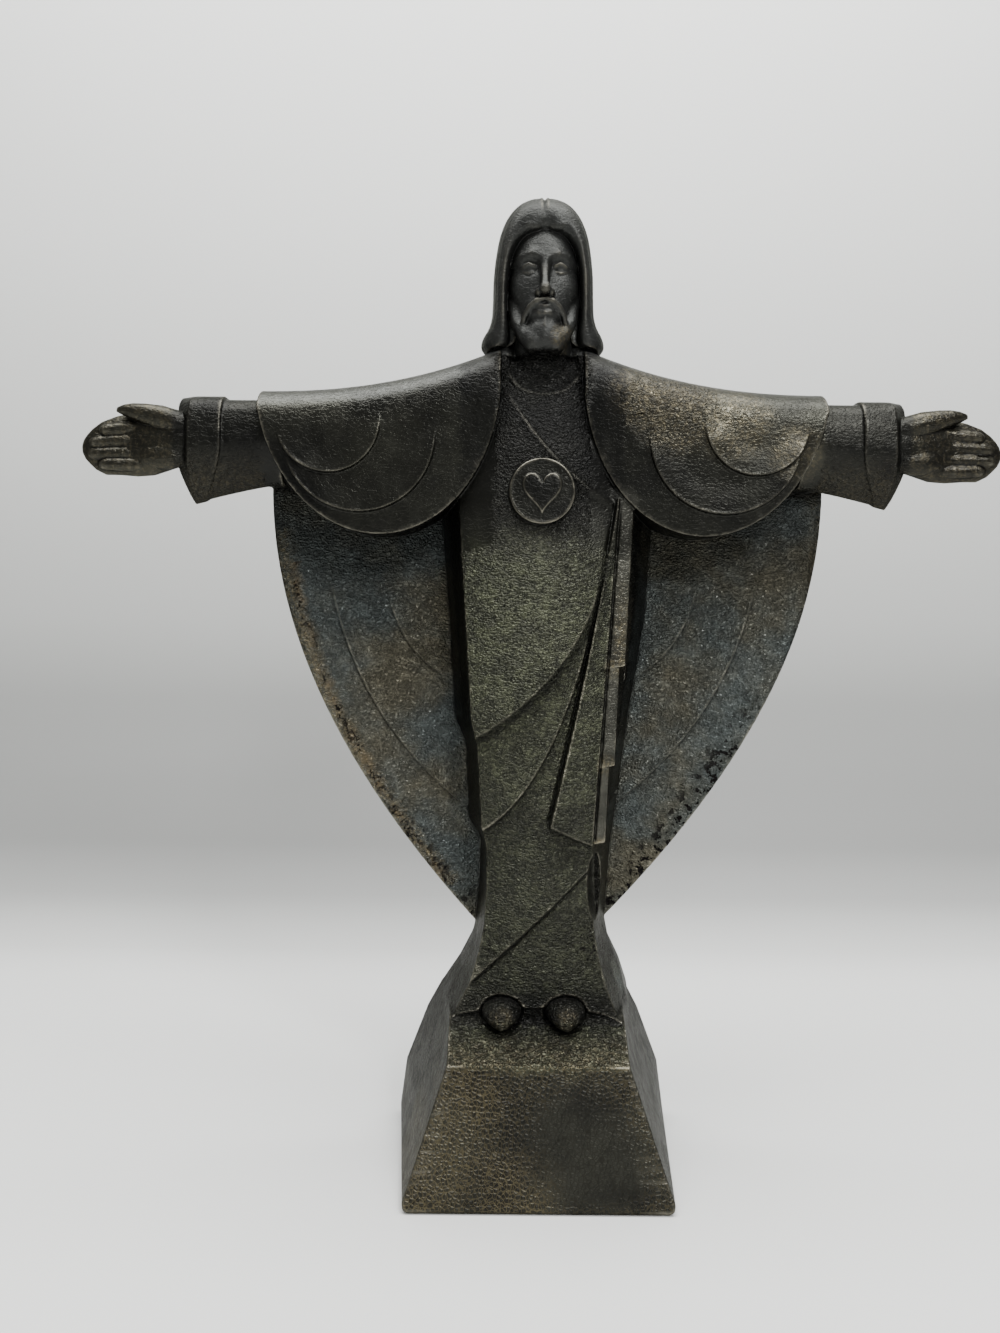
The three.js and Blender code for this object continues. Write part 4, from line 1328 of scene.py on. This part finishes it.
def patina_group():
    """The dark patina's colour and roughness from masks on the skin, with painted shade, painted sheen and
    painted highlights mixed into the colour.
    """
    tree = bpy.data.node_groups.new("dark patina", "ShaderNodeTree")
    face = tree.interface
    masks = ["Net"] + [name.capitalize() for name in MASKS]
    for name in masks:
        face.new_socket(name, in_out="INPUT", socket_type="NodeSocketFloat")
    face.new_socket("Color", in_out="OUTPUT", socket_type="NodeSocketColor")
    face.new_socket("Roughness", in_out="OUTPUT", socket_type="NodeSocketFloat")
    face.new_socket("Pitting", in_out="OUTPUT", socket_type="NodeSocketFloat")
    into, out = tree.nodes.new("NodeGroupInput"), tree.nodes.new("NodeGroupOutput")
    where = object_place(tree)
    mask = {name: into.outputs[name] for name in masks}

    def speckle(scale, detail, low, high):
        made = node(tree, "ShaderNodeTexNoise", Vector=where, Scale=scale, Detail=detail, Roughness=0.6)
        return stepped(tree, made.outputs[0], low, high)

    def times(a, b, clamp=False):
        return sums(tree, "MULTIPLY", a, b, clamp)

    def plus(a, b, clamp=False):
        return sums(tree, "ADD", a, b, clamp)

    broad, fine = speckle(24.0, 4.0, 0.36, 0.66), speckle(150.0, 3.0, 0.42, 0.64)
    grain = speckle(900.0, 2.0, 0.5, 0.66)
    mottle = speckle(420.0, 3.0, 0.44, 0.62)
    tone = mixed(tree, broad, (0.013, 0.013, 0.012, 1), (0.032, 0.032, 0.026, 1))
    blue = times(mask["Blue"], plus(0.62, times(fine, 0.28)))
    cape_tone = mixed(tree, broad, (0.100, 0.115, 0.112, 1), (0.122, 0.112, 0.080, 1))
    tone = mixed(tree, blue, tone, cape_tone)
    # painted sheen: a pale grey mixed in where the sheen mask is set
    tone = mixed(tree, times(mask["Satin"], 0.7), tone, (0.10, 0.103, 0.098, 1))
    tone = mixed(tree, times(mask["Bare"], plus(0.5, times(fine, 0.4))), tone, (0.080, 0.079, 0.066, 1))
    olive = times(mask["Olive"], plus(0.45, times(fine, 0.55)), True)
    tone = mixed(tree, olive, tone, (0.066, 0.070, 0.046, 1))
    # between the pebbles it is dark, but brown on the block where the patina has worn through
    net = times(times(mask["Net"], mask["Stipple"]), plus(0.75, times(mask["Blue"], -0.4)))
    tone = mixed(tree, net, tone, (0.014, 0.014, 0.013, 1))
    worn_net = plus(0.38, times(mask["Gold"], 0.6))
    worn_net = times(worn_net, sums(tree, "SUBTRACT", 1.0, times(mask["Dull"], 0.85)))
    brown = times(times(mask["Net"], mask["Coarse"]), worn_net)
    tone = mixed(tree, brown, tone, (0.105, 0.088, 0.049, 1))
    flecked = plus(plus(times(mottle, 0.35), times(grain, 0.8)), 0.2)
    flecks = times(mask["Gold"], times(flecked, plus(1.0, times(mask["Coarse"], -0.8))), True)
    # gold flecks: worn patina, and the painted golden highlight on the right shoulder
    tone = mixed(tree, flecks, tone, (0.165, 0.14, 0.085, 1))
    # worn edges, and a painted highlight along them, in a pale colour
    worn = times(mask["Rub"], plus(0.35, times(fine, 0.5)), True)
    tone = mixed(tree, worn, tone, (0.24, 0.225, 0.18, 1))
    # painted shade: the sunk mask darkens the colour to near black
    tone = mixed(tree, times(mask["Sunk"], 0.85), tone, (0.008, 0.008, 0.008, 1))
    holes = node(tree, "ShaderNodeTexNoise", Vector=where, Scale=330.0, Detail=2.5, Roughness=0.7)
    pitting = times(stepped(tree, holes.outputs[0], 0.55, 0.6), mask["Pits"])
    split = node(tree, "ShaderNodeTexNoise", Vector=where, Scale=85.0, Detail=4.0, Roughness=0.65)
    off_middle = sums(tree, "ABSOLUTE", sums(tree, "SUBTRACT", split.outputs[0], 0.5), 0.0)
    cracking = times(stepped(tree, off_middle, 0.022, 0.006), mask["Crack"])
    tone = mixed(tree, times(mask["Crack"], plus(0.15, times(fine, 0.35))), tone, (0.12, 0.08, 0.035, 1))
    pitting = plus(pitting, cracking, True)
    tone = mixed(tree, pitting, tone, (0.006, 0.005, 0.005, 1))
    rough = plus(plus(0.27, times(mask["Stipple"], 0.06)), times(mask["Coarse"], 0.05))
    rough = plus(plus(rough, times(mask["Sunk"], 0.06)), times(fine, 0.08))
    rough = plus(rough, times(mask["Satin"], 0.10))
    tree.links.new(tone, out.inputs["Color"])
    tree.links.new(rough, out.inputs["Roughness"])
    tree.links.new(pitting, out.inputs["Pitting"])
    return tree


PUNCHES = (  # on the cloth, and on the block
    ("Pebbles per metre", 850.0, 720.0),
    ("Wander", 0.7, 0.5),
    ("Crinkle", 0.7, 0.12),
)


def patinated_bronze():
    material = bpy.data.materials.new("patinated_bronze")
    material.use_nodes = True
    tree = material.node_tree
    shader = tree.nodes["Principled BSDF"]
    shader.inputs["Metallic"].default_value = 0.85
    shader.inputs["Specular IOR Level"].default_value = 0.5
    shader.inputs["Specular Tint"].default_value = (0.5, 0.5, 0.48, 1)
    mask = {}
    for name in MASKS:
        mask[name] = node(tree, "ShaderNodeAttribute", attribute_name=name).outputs["Fac"]
    punched = node(tree, "ShaderNodeGroup", node_tree=hammered_group())
    coarse_step = sums(tree, "GREATER_THAN", mask["coarse"], 0.5)
    for name, fine, coarse in PUNCHES:
        change = sums(tree, "MULTIPLY", coarse_step, coarse - fine)
        tree.links.new(sums(tree, "ADD", change, fine), punched.inputs[name])

    patina = node(tree, "ShaderNodeGroup", node_tree=patina_group())
    tree.links.new(punched.outputs["Net"], patina.inputs["Net"])
    for name, value in mask.items():
        tree.links.new(value, patina.inputs[name.capitalize()])
    tree.links.new(patina.outputs["Color"], shader.inputs["Base Color"])
    tree.links.new(patina.outputs["Roughness"], shader.inputs["Roughness"])
    depth = sums(tree, "SUBTRACT", mask["stipple"], sums(tree, "MULTIPLY", coarse_step, 0.6))
    depth = sums(tree, "SUBTRACT", depth, sums(tree, "MULTIPLY", mask["dull"], 0.28))
    height = sums(tree, "MULTIPLY", punched.outputs["Height"], depth)
    height = sums(tree, "SUBTRACT", height, sums(tree, "MULTIPLY", patina.outputs["Pitting"], 1.2))
    bump = node(tree, "ShaderNodeBump", Distance=0.0007, Strength=1.0, Height=height)
    tree.links.new(bump.outputs["Normal"], shader.inputs["Normal"])
    return material


figurine.data.materials.clear()
figurine.data.materials.append(patinated_bronze())
figurine.name = "figurine_casting"
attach(figurine, "root")
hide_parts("figurine")


# The floor, the light and the camera

CAMERA_PLACE = Vector((-14.6, -376.0, 184.5)) * MM
CAMERA_ROLL = math.radians(0.5)
FOCAL_PX, IMAGE_HEIGHT = 1001, 1333


SWEEP_SHADES = (  # height in metres, how pale: the wall is painted darker low down, as painted shade where it meets the floor
    (0.008, 0.50),
    (0.03, 0.29),
    (0.06, 0.205),
    (0.10, 0.225),
    (0.16, 0.285),
    (0.22, 0.37),
    (0.32, 0.44),
    (0.5, 0.55),
)


def stage_set():
    """A pale floor that sweeps up into a pale wall behind, painted darker low on the wall as painted shade.
    """
    sweep = bmesh.new()
    bend, corner = 0.20, 0.16
    profile = [(-1.6, 0.0), (bend, 0.0)]
    for step in range(1, 17):
        turn = math.radians(90) * step / 16
        profile.append((bend + corner * math.sin(turn), corner * (1 - math.cos(turn))))
    profile.append((bend + corner, 1.8))
    rows = [[sweep.verts.new((x, y, z)) for x in (-1.8, 1.8)] for y, z in profile]
    for low_row, high_row in zip(rows, rows[1:]):
        sweep.faces.new((low_row[0], low_row[1], high_row[1], high_row[0])).smooth = True
    mesh = bpy.data.meshes.new("sweep")
    sweep.to_mesh(mesh)
    sweep.free()
    ground = bpy.data.objects.new("sweep", mesh)
    ground.location.z = -0.0003
    bpy.context.scene.collection.objects.link(ground)
    pale = bpy.data.materials.new("pale_paper")
    pale.use_nodes = True
    shader = pale.node_tree.nodes["Principled BSDF"]
    shader.inputs["Roughness"].default_value = 0.7
    tree = pale.node_tree
    height = node(tree, "ShaderNodeSeparateXYZ", Vector=object_place(tree)).outputs["Z"]
    shades = node(tree, "ShaderNodeValToRGB", Fac=height)
    stops = shades.color_ramp.elements
    for at, shade in SWEEP_SHADES:
        stops.new(at).color = (shade, shade * 1.01, shade * 0.985, 1)
    stops[0].color = (0.66, 0.665, 0.65, 1)
    stops[-1].position = 0.9
    stops[-1].color = (0.70, 0.705, 0.69, 1)
    feed(tree, shades.outputs[0], shader.inputs["Base Color"])
    # seen from behind or below, the sweep lets the view through
    behind = tree.nodes.new("ShaderNodeNewGeometry").outputs["Backfacing"]
    feed(tree, sums(tree, "SUBTRACT", 1.0, behind), shader.inputs["Alpha"])
    mesh.materials.append(pale)


def lamp(name, place, aim, size, power, colour=(1, 1, 1)):
    data = bpy.data.lights.new(name, "AREA")
    data.shape = "RECTANGLE"
    data.size, data.size_y = size
    data.energy = power
    data.color = colour
    light = bpy.data.objects.new(name, data)
    light.location = Vector(place)
    light.rotation_euler = (Vector(aim) - Vector(place)).to_track_quat("-Z", "Y").to_euler()
    bpy.context.scene.collection.objects.link(light)


def studio():
    world = bpy.data.worlds.new("pale_room")
    world.use_nodes = True
    world.node_tree.nodes["Background"].inputs["Color"].default_value = (0.86, 0.87, 0.85, 1)
    world.node_tree.nodes["Background"].inputs["Strength"].default_value = 0.42
    bpy.context.scene.world = world
    lamp("key", (0.36, -0.85, 0.82), (0.05, 0, 0.27), (0.22, 0.22), 9)
    lamp("top", (0.0, -0.12, 1.05), (0, 0, 0.2), (1.1, 0.6), 27)


def camera():
    data = bpy.data.cameras.new("camera")
    data.sensor_width = 36
    data.lens = data.sensor_width * FOCAL_PX / IMAGE_HEIGHT
    data.clip_start = 0.01
    place = bpy.data.objects.new("camera", data)
    place.location = CAMERA_PLACE
    place.rotation_euler = Euler((math.pi / 2, 0, 0))
    place.rotation_euler.rotate_axis("Z", CAMERA_ROLL)
    bpy.context.scene.collection.objects.link(place)
    bpy.context.scene.camera = place


stage_set()
studio()
camera()
